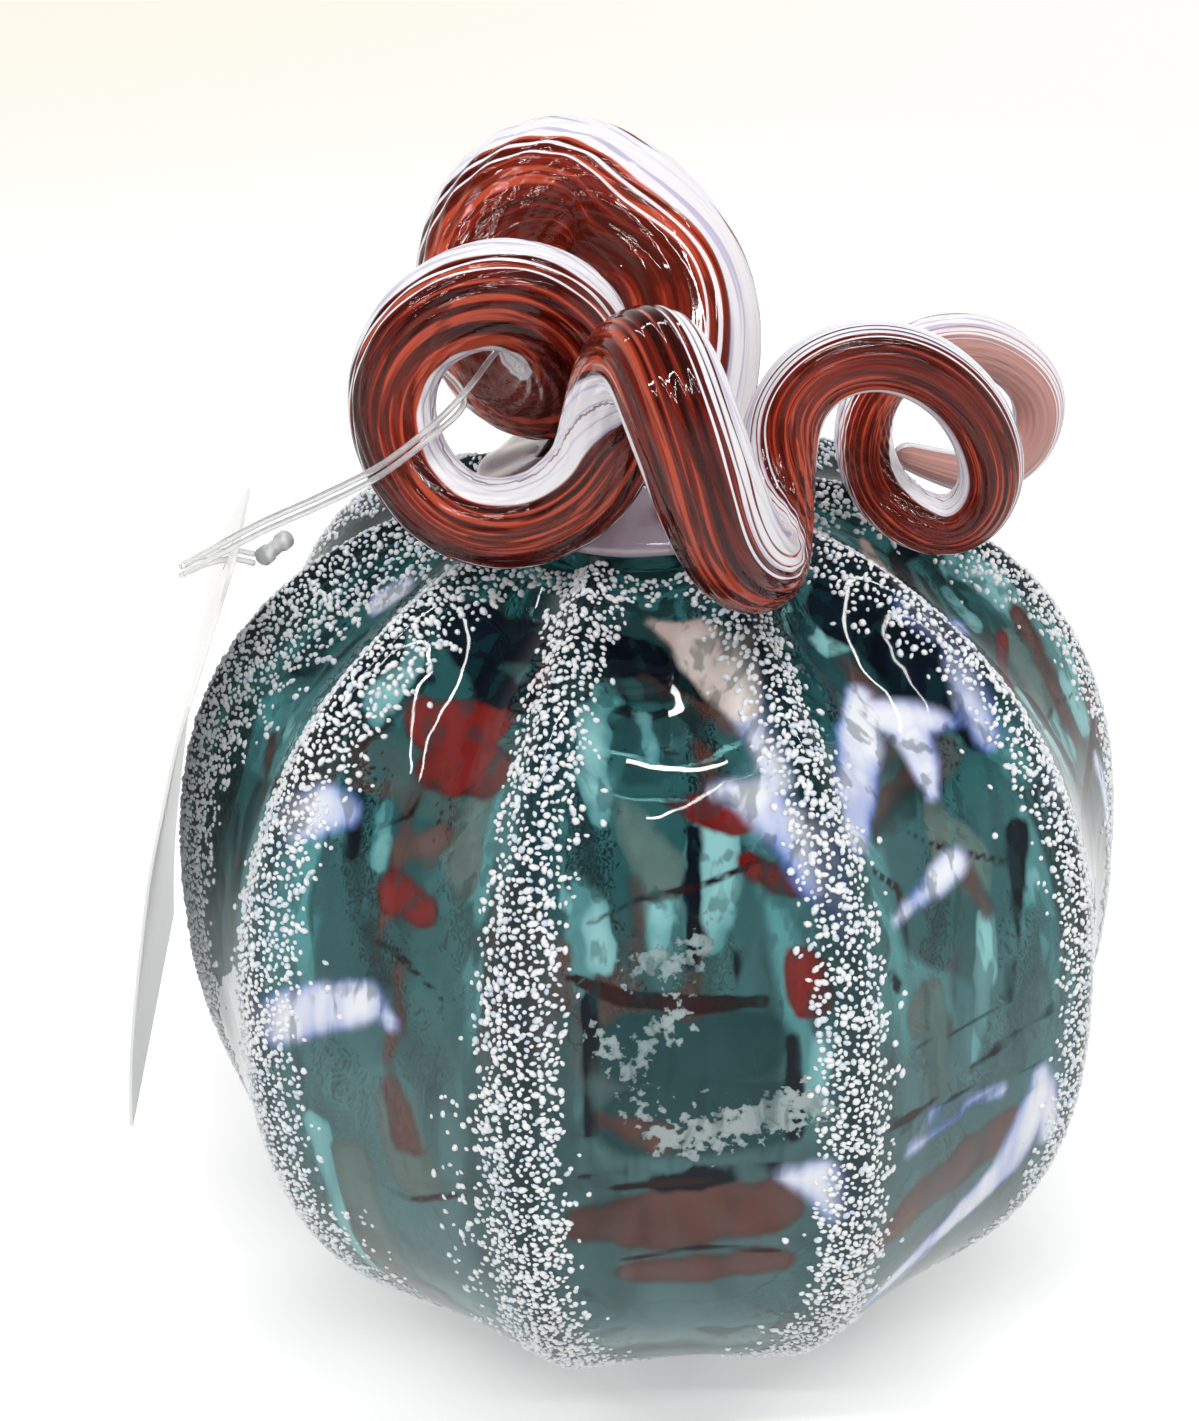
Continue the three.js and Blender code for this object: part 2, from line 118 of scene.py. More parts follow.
class Wire:
    """A socket that gives a value, for sums written as Python expressions."""

    def __init__(self, bench: "Bench", socket: bpy.types.NodeSocket) -> None:
        """Keeps the socket and the bench whose tree it is in."""
        self.bench = bench
        self.socket = socket

    def _maths(self, operation: str, first: Any, second: Any = None) -> "Wire":
        """One Math node of one or two values or wires."""
        values = {0: first} if second is None else {0: first, 1: second}
        return self.bench.node("ShaderNodeMath", {"operation": operation}, values)

    def __add__(self, other: Any) -> "Wire":
        """self + other."""
        return self._maths("ADD", self, other)

    __radd__ = __add__

    def __sub__(self, other: Any) -> "Wire":
        """self - other."""
        return self._maths("SUBTRACT", self, other)

    def __rsub__(self, other: Any) -> "Wire":
        """other - self."""
        return self._maths("SUBTRACT", other, self)

    def __mul__(self, other: Any) -> "Wire":
        """self * other."""
        return self._maths("MULTIPLY", self, other)

    __rmul__ = __mul__

    def __truediv__(self, other: Any) -> "Wire":
        """self / other."""
        return self._maths("DIVIDE", self, other)

    def __pow__(self, other: Any) -> "Wire":
        """self to the power of other."""
        return self._maths("POWER", self, other)

    def absolute(self) -> "Wire":
        """The value without its sign."""
        return self._maths("ABSOLUTE", self)

    def fraction(self) -> "Wire":
        """What is left over the whole number below."""
        return self._maths("FRACT", self)

    def root(self) -> "Wire":
        """Square root."""
        return self._maths("SQRT", self)

    def turn_from(self, ahead: "Wire") -> "Wire":
        """Angle of a direction, self to the side and the other wire ahead, in radians."""
        return self._maths("ARCTAN2", self, ahead)

    def above(self, low: float, high: float) -> "Wire":
        """Smooth step from 0 at low to 1 at high; falls where high is below low."""
        settings = {"interpolation_type": "SMOOTHSTEP"}
        if low <= high:
            return self.bench.node("ShaderNodeMapRange", settings, {0: self, 1: low, 2: high})
        risen = self.bench.node("ShaderNodeMapRange", settings, {0: self, 1: high, 2: low})
        return 1.0 - risen

    def sibling(self, name: str) -> "Wire":
        """Another output of the same node."""
        return Wire(self.bench, self.socket.node.outputs[name])


class Bench:
    """Adds nodes to one tree, of a material, of the world or of Geometry Nodes."""

    def __init__(self, tree: bpy.types.NodeTree) -> None:
        """Works on the given tree."""
        self.tree = tree

    def node(
        self, kind: str, settings: dict[str, Any] | None = None,
        values: dict[Any, Any] | None = None, output: Any = 0,
    ) -> Wire:
        """Adds a node and gives one of its outputs.

        Args:
            kind: the node's type name.
            settings: its own settings, set before its sockets.
            values: numbers, colours or wires for its input sockets, by name or place.
            output: name or place of the output that is given back.

        Returns:
            The output as a Wire, or the node itself where it has none.
        """
        made = self.tree.nodes.new(kind)
        for name, value in (settings or {}).items():
            setattr(made, name, value)
        for key, value in (values or {}).items():
            socket = made.inputs[key]
            if isinstance(value, Wire):
                self.tree.links.new(value.socket, socket)
            elif socket.type == "RGBA":
                socket.default_value = (*value, 1.0)
            else:
                socket.default_value = value
        return Wire(self, made.outputs[output]) if len(made.outputs) else made

    def blend(self, share: Any, first: Any, second: Any) -> Wire:
        """Colour between two colours by a share, through a Mix node."""
        return self.node("ShaderNodeMix", {"data_type": "RGBA"}, {0: share, 6: first, 7: second}, 2)

    def noise(self, place: Any, scale: float, detail: float = 2.0) -> Wire:
        """Noise from 0 to 1 over a place."""
        values = {"Vector": place, "Scale": scale, "Detail": detail}
        return self.node("ShaderNodeTexNoise", None, values, "Fac")

    def flat_noise(self, across: Wire, along: Wire, detail: float = 2.0) -> Wire:
        """Noise from 0 to 1 over two values that are already scaled."""
        values = {"Vector": self.joined(across, along), "Scale": 1.0, "Detail": detail}
        return self.node("ShaderNodeTexNoise", {"noise_dimensions": "2D"}, values, "Fac")

    def place(self) -> Wire:
        """Object coordinates of a material's surface."""
        return self.node("ShaderNodeTexCoord", None, None, "Object")

    def joined(self, x: Any, y: Any, z: Any = 0.0) -> Wire:
        """A vector of three values."""
        return self.node("ShaderNodeCombineXYZ", None, {0: x, 1: y, 2: z})

    def axis(self, place: Wire, letter: str) -> Wire:
        """One value of a vector, by its letter."""
        return self.node("ShaderNodeSeparateXYZ", None, {0: place}, letter)

    def vectors(self, operation: str, values: dict[Any, Any], output: Any = 0) -> Wire:
        """One Vector Math node."""
        return self.node("ShaderNodeVectorMath", {"operation": operation}, values, output)

    def stretched(self, place: Wire, up: float) -> Wire:
        """A place with its height scaled."""
        return self.node("ShaderNodeMapping", None, {"Vector": place, "Scale": (1.0, 1.0, up)})

    def warped(self, place: Wire, scale: float, reach: float) -> Wire:
        """A place moved by noise by up to about half the reach each way."""
        values = {"Vector": place, "Scale": scale, "Detail": 2.0}
        push = self.node("ShaderNodeTexNoise", None, values, "Color")
        centred = self.vectors("SUBTRACT", {0: push, 1: (0.5, 0.5, 0.5)})
        moved = self.vectors("SCALE", {0: centred, "Scale": reach})
        return self.vectors("ADD", {0: place, 1: moved})

    def attribute(self, mark: Enum) -> Wire:
        """A mark of the mesh in a material."""
        return self.node("ShaderNodeAttribute", {"attribute_name": mark.value}, None, "Fac")

    def stored(self, mark: Enum, kind: str = "FLOAT") -> Wire:
        """A mark of the mesh in Geometry Nodes."""
        settings = {"data_type": kind}
        return self.node("GeometryNodeInputNamedAttribute", settings, {"Name": mark.value})

    def bump(self, height: Wire, strength: float, distance: float) -> Wire:
        """Normal bent by a height."""
        values = {"Height": height, "Strength": strength, "Distance": distance}
        return self.node("ShaderNodeBump", None, values)

    def glaze(self, values: dict[str, Any]) -> Wire:
        """A Principled shader."""
        return self.node("ShaderNodeBsdfPrincipled", None, values)

    def layers(self, share: Any, first: Wire, second: Wire) -> Wire:
        """A shader between two shaders by a share."""
        return self.node("ShaderNodeMixShader", None, {0: share, 1: first, 2: second})

    def surface(self, shader: Wire) -> None:
        """Links a shader to the material's output."""
        self.node("ShaderNodeOutputMaterial", None, {"Surface": shader})


def fresh_material(name: str) -> tuple[bpy.types.Material, Bench]:
    """A new material with an empty tree, and the bench for it."""
    material = bpy.data.materials.new(name)
    material.use_nodes = True
    material.node_tree.nodes.clear()
    return material, Bench(material.node_tree)


def grouped(
    tree: bpy.types.NodeTree, sockets: Sequence[tuple[str, str, Any]],
) -> tuple[Bench, dict[str, Wire]]:
    """Gives a geometry tree its inputs and output.

    Args:
        tree: the new tree.
        sockets: name, socket type and default value of each size that the tree takes.

    Returns:
        The bench, and a wire for the geometry and for each size.
    """
    tree.interface.new_socket("Geometry", in_out="INPUT", socket_type="NodeSocketGeometry")
    for name, kind, value in sockets:
        socket = tree.interface.new_socket(name, in_out="INPUT", socket_type=kind)
        if value is not None:
            socket.default_value = value
    tree.interface.new_socket("Geometry", in_out="OUTPUT", socket_type="NodeSocketGeometry")
    bench = Bench(tree)
    entry = tree.nodes.new("NodeGroupInput")
    names = ["Geometry"] + [name for name, _, _ in sockets]
    return bench, {name: Wire(bench, entry.outputs[name]) for name in names}


def finish_tree(bench: Bench, geometry: Wire, material: bpy.types.Material) -> None:
    """Ends a tree: smooth shading, real instances, one material."""
    smooth_faces = bench.node("GeometryNodeSetShadeSmooth", None, {"Geometry": geometry})
    real = bench.node("GeometryNodeRealizeInstances", None, {"Geometry": smooth_faces})
    dressed = bench.node("GeometryNodeSetMaterial", None, {"Geometry": real, "Material": material})
    bench.node("NodeGroupOutput", None, {"Geometry": dressed})


def apply_tree(
    made: bpy.types.Object, tree: bpy.types.NodeTree, values: dict[str, Any] | None = None,
) -> None:
    """Runs a tree on an object and keeps the plain mesh.

    Args:
        made: the object whose mesh goes in.
        tree: the geometry tree.
        values: sizes that differ from the tree's own, by input name.
    """
    step = made.modifiers.new(tree.name, "NODES")
    step.node_group = tree
    inputs = {item.name: item for item in tree.interface.items_tree if item.in_out == "INPUT"}
    for name, value in (values or {}).items():
        step[inputs[name].identifier] = value
    baked_mesh(made)


# Meshes


class Mark(Enum):
    """What a mesh carries at each vertex, for its finish or for Geometry Nodes."""

    CLIMB = "climb"
    CREST_REACH = "crest_reach"
    INSIDE = "inside"
    LEAN = "lean"
    VALLEY = "valley"
    GRAIN_SHARE = "grain_share"
    WAY_ROUND = "way_round"
    WAY_ALONG = "way_along"


def linked(name: str, data: bpy.types.ID) -> bpy.types.Object:
    """A new object in the scene."""
    made = bpy.data.objects.new(name, data)
    bpy.context.scene.collection.objects.link(made)
    return made


def mesh_object(
    name: str, points: np.ndarray, faces: Sequence[Sequence[int]], material: bpy.types.Material,
) -> bpy.types.Object:
    """A smooth shaded object at the origin.

    Args:
        name: the piece's name.
        points: one row of x, y, z per vertex, in metres.
        faces: vertex numbers of each face.
        material: its only material.

    Returns:
        The linked object.
    """
    mesh = bpy.data.meshes.new(name)
    mesh.from_pydata([tuple(point) for point in points], [], [tuple(face) for face in faces])
    mesh.shade_smooth()
    mesh.materials.append(material)
    return linked(name, mesh)


def drawn_object(
    name: str, work: bmesh.types.BMesh, material: bpy.types.Material,
) -> bpy.types.Object:
    """An object of what was drawn in a bmesh, which is freed."""
    mesh = bpy.data.meshes.new(name)
    work.to_mesh(mesh)
    work.free()
    mesh.materials.append(material)
    return linked(name, mesh)


def mark_points(made: bpy.types.Object, mark: Enum, values: np.ndarray) -> None:
    """Stores a number or a vector per vertex as an attribute."""
    kind, key = ("FLOAT", "value") if values.ndim == 1 else ("FLOAT_VECTOR", "vector")
    layer = made.data.attributes.new(mark.value, kind, "POINT")
    layer.data.foreach_set(key, np.ascontiguousarray(values, dtype=np.float32).ravel())


def ring_faces(rows: int, count: int, closed: bool = True) -> list[tuple[int, ...]]:
    """Faces between rows of points.

    Args:
        rows: how many rows.
        count: points in each row.
        closed: whether the rows are rings, with a pole point after them for each end.

    Returns:
        Vertex numbers of each face.
    """
    faces: list[tuple[int, ...]] = []
    for row in range(rows - 1):
        low, high = row * count, (row + 1) * count
        for step in range(count if closed else count - 1):
            after = (step + 1) % count
            faces.append((low + step, low + after, high + after, high + step))
    if closed:
        top, pole = (rows - 1) * count, rows * count
        faces += [(pole, (step + 1) % count, step) for step in range(count)]
        faces += [(pole + 1, top + step, top + (step + 1) % count) for step in range(count)]
    return faces


def outward(made: bpy.types.Object) -> None:
    """Turns a closed mesh's faces outwards."""
    work = bmesh.new()
    work.from_mesh(made.data)
    bmesh.ops.recalc_face_normals(work, faces=work.faces)
    work.to_mesh(made.data)
    work.free()


def baked_mesh(made: bpy.types.Object) -> None:
    """Turns an object's modifiers into plain mesh and removes them."""
    graph = bpy.context.evaluated_depsgraph_get()
    plain = bpy.data.meshes.new_from_object(made.evaluated_get(graph), depsgraph=graph)
    made.modifiers.clear()
    made.data = plain


# Finishes


class Melt(Enum):
    """Kinds of colour melted into the body, with the attribute that places each; the bright aqua
    kind is painted light shining through the teal glass.
    """

    POOL = "melt_pool"
    # painted light: bright aqua streaks that stand in for light shining through the teal glass
    AQUA = "melt_aqua"
    SMOKE = "melt_smoke"
    RUST = "melt_rust"
    RED = "melt_red"
    INK = "melt_ink"
    SEAM = "melt_seam"
    OPAL = "melt_opal"
    CREAM = "melt_cream"
    FLAKE = "melt_flake"


@dataclass(frozen=True)
class Tone:
    """How one kind of melted colour looks.

    It goes from dark to light along its streaks. Its edge is soft over some millimetres and takes a
    share of the wandering noise. Its cover is how much of the clear glass it hides.
    """

    melt: Melt
    dark: Colour
    light: Colour
    soft: float
    cover: float
    ragged: float


@dataclass(frozen=True)
class BodyGlass:
    """Dark teal glass with melted colours under a fire polished face; its bright aqua is painted
    light shining through the glass.

    A Span holds two climbs up the wall, or two reaches from a crest, in millimetres: a colour comes
    in from the first to the second.
    """

    night: Colour = (0.002, 0.007, 0.010)
    deep: Colour = (0.005, 0.034, 0.040)
    teal: Colour = (0.034, 0.120, 0.124)
    # painted light: bright aqua that stands in for light shining through the teal glass
    aqua: Colour = (0.15, 0.48, 0.50)
    smoke: Colour = (0.115, 0.165, 0.145)
    amber: Colour = (0.15, 0.055, 0.035)
    calm: Colour = (0.028, 0.094, 0.100)
    calm_light: Colour = (0.110, 0.240, 0.255)
    crest_dark: Colour = (0.006, 0.014, 0.022)
    tint: Colour = (0.22, 0.52, 0.53)
    tint_low: Colour = (0.30, 0.56, 0.57)
    patch_scale: float = 62.0
    patched: Span = (78.0, 94.0)
    darkened: Span = (110.0, 126.0)
    threaded: Span = (58.0, 80.0)
    tinted_low: Span = (84.0, 60.0)
    glow_from: Span = (74.0, 88.0)
    glow_to: Span = (132.0, 118.0)
    glow_near: Span = (4.4, 5.4)
    glow_far: Span = (9.5, 7.5)
    crest: Span = (4.5, 0.8)
    crest_cover: float = 0.8
    wave_depth: float = 1.6 * MM
    tones: tuple[Tone, ...] = (
        Tone(Melt.POOL, (0.004, 0.034, 0.039), (0.014, 0.060, 0.066), 1.2, 0.88, 0.5),
        # painted light: the bright aqua tone stands in for light shining through the glass
        Tone(Melt.AQUA, (0.04, 0.21, 0.23), (0.34, 0.69, 0.70), 0.4, 0.75, 1.0),
        Tone(Melt.SMOKE, (0.045, 0.095, 0.085), (0.165, 0.215, 0.190), 0.45, 0.6, 1.0),
        Tone(Melt.RUST, (0.022, 0.005, 0.004), (0.17, 0.046, 0.030), 0.8, 0.65, 1.0),
        Tone(Melt.RED, (0.012, 0.001, 0.001), (0.22, 0.007, 0.004), 0.5, 0.85, 0.8),
        Tone(Melt.INK, (0.0005, 0.001, 0.002), (0.003, 0.006, 0.014), 0.5, 0.97, 0.9),
        Tone(Melt.SEAM, (0.0005, 0.001, 0.002), (0.040, 0.004, 0.004), 0.3, 0.92, 0.16),
        Tone(Melt.OPAL, (0.09, 0.20, 0.66), (0.90, 0.92, 0.98), 1.0, 0.96, 0.4),
        Tone(Melt.CREAM, (0.52, 0.40, 0.36), (0.88, 0.79, 0.74), 0.6, 0.96, 0.4),
        Tone(Melt.FLAKE, (0.13, 0.24, 0.25), (0.60, 0.68, 0.68), 0.4, 0.55, 0.6),
    )

    def patches(self, bench: Bench, place: Wire, streak: Wire) -> Wire:
        """Colour of the glass between the melted strands, by how high up the wall it is.

        Args:
            bench: the material's bench.
            place: object coordinates.
            streak: noise drawn out lengthwise, from 0 to 1.

        Returns:
            Dark at the top, broken into bright and dark patches in the middle, the bright aqua ones
            painted light, calm teal low down.
        """
        climb = bench.attribute(Mark.CLIMB) + (streak - 0.5) * 16.0
        drawn = bench.stretched(bench.warped(place, 34.0, 16 * MM), 0.55)
        values = {"Vector": drawn, "Scale": self.patch_scale}
        cell = bench.node("ShaderNodeTexVoronoi", {"feature": "F1"}, values, "Color")
        seam = bench.node("ShaderNodeTexVoronoi", {"feature": "DISTANCE_TO_EDGE"}, values)
        mid = bench.blend(cell.above(0.26, 0.30), self.deep, self.teal)
        # painted light: the aqua cells stand in for light shining through the teal glass
        steps = ((0.44, self.aqua), (0.56, self.smoke), (0.66, self.amber), (0.76, self.deep))
        for low, colour in steps:
            mid = bench.blend(cell.above(low, low + 0.035), mid, colour)
        mid = bench.blend(streak.above(0.42, 0.62) * 0.55, mid, self.deep)
        mid = bench.blend(seam.above(0.045, 0.012) * 0.7, mid, self.night)
        light = streak.above(0.36, 0.64) * 0.6 + cell.above(0.3, 0.7) * 0.4
        low_down = bench.blend(light, self.calm, self.calm_light)
        colour = bench.blend(climb.above(*self.patched), low_down, mid)
        return bench.blend(climb.above(*self.darkened) * 0.92, colour, self.night)

    def glow(self, bench: Bench, streak: Wire, cloud: Wire) -> Wire:
        """Painted light: bright aqua beside the crests, standing in for light shining through the
        glass there.

        Args:
            bench: the material's bench.
            streak: noise drawn out lengthwise, from 0 to 1.
            cloud: soft noise, from 0 to 1.

        Returns:
            A share from 0 to 1, in streaks between the two reaches and the two climbs.
        """
        reach, climb = bench.attribute(Mark.CREST_REACH), bench.attribute(Mark.CLIMB)
        beside = reach.above(*self.glow_near) * reach.above(*self.glow_far)
        level = climb.above(*self.glow_from) * climb.above(*self.glow_to)
        return beside * level * (streak * 0.6 + cloud * 0.4).above(0.46, 0.52)

    def build(self) -> bpy.types.Material:
        """Makes the material.

        Returns:
            A mix of tinted clear glass and coloured opaque glass.
        """
        material, bench = fresh_material("body_glass")
        place = bench.place()
        climb = bench.attribute(Mark.CLIMB)
        cloud = bench.noise(place, 26.0, 3.0)
        streak = bench.noise(bench.stretched(place, 0.16), 150.0, 3.0)
        ripple = bench.noise(bench.stretched(place, 0.45), 95.0)
        chip = bench.noise(bench.stretched(place, 0.6), 260.0, 1.0)
        crumb = (bench.noise(place, 760.0, 3.0) - 0.5) * 16.0
        colour = self.patches(bench, place, streak)
        # painted light: bright aqua streaks beside the crests, where light shines through the glass
        colour = bench.blend(self.glow(bench, streak, cloud) * 0.85, colour, self.aqua)
        opaque = 0.34 + streak * 0.22
        wander = (
            (ripple - 0.5) * 4.5 + (cloud - 0.5) * 3.0 + (streak - 0.5) * 5.0 + (chip - 0.5) * 2.0
        )
        streaky = (streak * 0.5 + cloud * 0.2 + ripple * 0.3).above(0.42, 0.57)
        for tone in self.tones:
            edge = bench.attribute(tone.melt) + wander * tone.ragged
            if tone.melt is Melt.FLAKE:
                edge = edge + crumb
            mask = edge.above(-tone.soft, tone.soft)
            within = edge.above(-0.6, 2.2) * 0.5 + streaky * 0.5
            colour = bench.blend(mask, colour, bench.blend(within, tone.dark, tone.light))
            opaque = opaque + mask * (tone.cover - opaque)
        thread = bench.noise(bench.stretched(bench.warped(place, 60.0, 6 * MM), 0.08), 420.0)
        drawn = thread.above(0.52, 0.62) * climb.above(*self.threaded) * 0.5
        colour = bench.blend(drawn, colour, self.deep)
        crest = bench.attribute(Mark.CREST_REACH).above(*self.crest)
        colour = bench.blend(crest * self.crest_cover, colour, self.crest_dark)
        opaque = opaque + crest * (self.crest_cover - opaque)
        wave = bench.noise(place, 56.0) * 0.8 + bench.noise(place, 170.0, 1.0) * 0.2
        flake = (bench.attribute(Melt.FLAKE) + crumb).above(-0.3, 0.5)
        normal = bench.bump(wave + flake * 0.25, 0.22, self.wave_depth)
        solid = bench.glaze({
            "Base Color": colour, "Roughness": 0.035 + flake * 0.4, "IOR": 1.45,
            "Specular IOR Level": 0.2, "Normal": normal,
        })
        clear = bench.glaze({
            "Base Color": bench.blend(climb.above(*self.tinted_low), self.tint, self.tint_low),
            "Roughness": 0.02, "IOR": 1.48, "Specular IOR Level": 0.25, "Transmission Weight": 1.0,
            "Normal": normal,
        })
        seen = opaque * (1.0 - bench.attribute(Mark.INSIDE) * 0.9)
        bench.surface(bench.layers(seen, clear, solid))
        return material


@dataclass(frozen=True)
class Frit:
    """Fused white glass grains, a few of them bluish."""

    white: Colour = (0.90, 0.91, 0.92)
    blue: Colour = (0.56, 0.66, 0.80)

    def build(self) -> bpy.types.Material:
        """Makes the material; its tint changes from grain to grain with their place."""
        material, bench = fresh_material("frit_grains")
        place = bench.place()
        mottle = bench.noise(place, 900.0, 1.0)
        tint = (mottle * 0.7 + bench.noise(place, 60.0) * 0.3).above(0.48, 0.66)
        bench.surface(bench.glaze({
            "Base Color": bench.blend(tint * 0.8, self.white, self.blue),
            "Roughness": 0.24 + mottle * 0.18, "IOR": 1.5,
            "Normal": bench.bump(bench.noise(place, 2600.0), 0.25, 0.12 * MM),
            "Coat Weight": 0.6, "Coat Roughness": 0.08,
        }))
        return material


@dataclass(frozen=True)
class StemGlass:
    """Red brown pulled glass with a bundle of lavender lines along it.

    A line is where it lies round the tube, the half width where it begins and the one where it is
    full, all in turns.
    """

    deep: Colour = (0.024, 0.003, 0.002)
    warm: Colour = (0.20, 0.014, 0.007)
    coral: Colour = (0.70, 0.105, 0.048)
    lavender: Colour = (0.62, 0.58, 0.76)
    pale: Colour = (0.94, 0.93, 0.97)
    blush: Colour = (0.90, 0.56, 0.50)
    tint: Colour = (0.50, 0.050, 0.020)
    lines: tuple[tuple[float, float, float], ...] = (
        (0.0, 0.082, 0.072), (-0.100, 0.006, 0.003), (0.090, 0.009, 0.005), (0.120, 0.005, 0.003),
        (-0.128, 0.004, 0.002),
    )
    groove: tuple[float, float, float] = (0.048, 0.005, 0.003)
    inner: Span = (0.104, 0.088)
    tip_from: Span = (0.318, 0.338)
    flute_depth: float = 0.5 * MM

    def veil(self, turn: Wire, run: Wire) -> Wire:
        """Where the lavender lines lie, from 0 to 1."""
        values = {"W": run, "Scale": 22.0}
        wander = turn.bench.node("ShaderNodeTexNoise", {"noise_dimensions": "1D"}, values, "Fac")
        side = turn + (wander - 0.5) * 0.035
        bands = [
            (side - middle).absolute().above(outer, full)
            for middle, outer, full in (*self.lines, self.groove)
        ]
        groove = bands.pop() * 0.85
        white = (0.5 - side.absolute()).above(*self.inner)
        for band in bands:
            white = white + band
        return (white - groove).above(0.05, 0.95)

    def build(self) -> bpy.types.Material:
        """Makes the material from the tube's own ways round and along."""
        material, bench = fresh_material("stem_glass")
        turn, run = bench.attribute(Mark.WAY_ROUND), bench.attribute(Mark.WAY_ALONG)
        streaks = bench.flat_noise(turn * 46.0, run * 20.0)
        tone = streaks * 0.58 + bench.flat_noise(turn * 9.0, run * 18.0) * 0.42
        dash = bench.flat_noise(turn * 30.0 + run * 60.0, run * 95.0, 1.0)
        white = self.veil(turn, run)
        colour = bench.blend(tone.above(0.40, 0.50), self.deep, self.warm)
        colour = bench.blend(tone.above(0.52, 0.61), colour, self.coral)
        colour = bench.blend(dash.above(0.52, 0.60) * 0.7, colour, self.deep)
        tip = run.above(*self.tip_from) * (0.52 + streaks * 0.42)
        colour = bench.blend(tip, colour, self.blush)
        veil = bench.blend(streaks.above(0.34, 0.46), self.lavender, self.pale)
        colour = bench.blend(white * 0.95, colour, veil)
        ridge = bench.noise(bench.joined(turn * 60.0, run * 30.0), 1.0, 1.0)
        normal = bench.bump(ridge, 0.35, self.flute_depth)
        solid = bench.glaze({
            "Base Color": colour, "Roughness": 0.05, "IOR": 1.5, "Specular IOR Level": 0.25,
            "Normal": normal,
        })
        clear = bench.glaze({
            "Base Color": self.tint, "Roughness": 0.02, "IOR": 1.48, "Specular IOR Level": 0.3,
            "Transmission Weight": 1.0, "Normal": normal,
        })
        bench.surface(bench.layers(0.66 + white * 0.30, clear, solid))
        return material


@dataclass(frozen=True)
class CollarGlass:
    """Pinkish lilac glass of the stem's collar."""

    pink: Colour = (0.36, 0.16, 0.17)
    lilac: Colour = (0.62, 0.52, 0.62)
    tint: Colour = (0.92, 0.72, 0.70)

    def build(self) -> bpy.types.Material:
        """Makes the material."""
        material, bench = fresh_material("collar_glass")
        fold = bench.noise(bench.stretched(bench.place(), 0.3), 120.0, 3.0)
        normal = bench.bump(fold, 0.3, 1.0 * MM)
        solid = bench.glaze({
            "Base Color": bench.blend(fold.above(0.4, 0.62), self.pink, self.lilac),
            "Roughness": 0.07, "IOR": 1.5, "Coat Weight": 1.0, "Normal": normal,
        })
        clear = bench.glaze({
            "Base Color": self.tint, "Roughness": 0.03, "IOR": 1.48, "Transmission Weight": 1.0,
            "Normal": normal,
        })
        bench.surface(bench.layers(0.45 + fold * 0.3, clear, solid))
        return material


@dataclass(frozen=True)
class CoatedCard:
    """White coated card, a little warmer where it has been handled."""

    white: Colour = (0.90, 0.895, 0.88)
    warm: Colour = (0.80, 0.77, 0.72)

    def build(self) -> bpy.types.Material:
        """Makes the material."""
        material, bench = fresh_material("coated_card")
        place = bench.place()
        handled = bench.noise(place, 38.0, 3.0)
        fibre = bench.noise(place, 1900.0)
        bench.surface(bench.glaze({
            "Base Color": bench.blend(handled.above(0.45, 0.75) * 0.7, self.white, self.warm),
            "Roughness": 0.26 + fibre * 0.12, "Coat Weight": 0.35, "Coat Roughness": 0.15,
            "Normal": bench.bump(fibre * 0.3 + handled, 0.12, 0.3 * MM),
        }))
        return material


@dataclass(frozen=True)
class ClearPlastic:
    """Clear plastic of the thread and the lock, faintly milky in places."""

    name: str
    milky: Colour = (0.86, 0.87, 0.88)
    milkier: Colour = (0.93, 0.93, 0.94)
    clear: Colour = (1.0, 1.0, 1.0)
    opaque: float = 0.22

    def build(self) -> bpy.types.Material:
        """Makes the material."""
        material, bench = fresh_material(self.name)
        haze = bench.noise(bench.place(), 320.0)
        solid = bench.glaze({
            "Base Color": bench.blend(haze, self.milky, self.milkier),
            "Roughness": 0.22 + haze * 0.1,
        })
        clear = bench.glaze({
            "Base Color": self.clear, "Roughness": 0.06, "Transmission Weight": 1.0,
        })
        bench.surface(bench.layers(self.opaque + haze * 0.2, clear, solid))
        return material


# The body's form


@dataclass(frozen=True)
class Strand:
    """A patch or streak of colour in the body, as a line with a width at each of its points.

    Each point is (ribs, climb, half width): ribs counted from the first rib to the right, then
    millimetres up the wall from its standing ring, then millimetres.
    """

    melt: Melt
    points: tuple[tuple[float, float, float], ...]


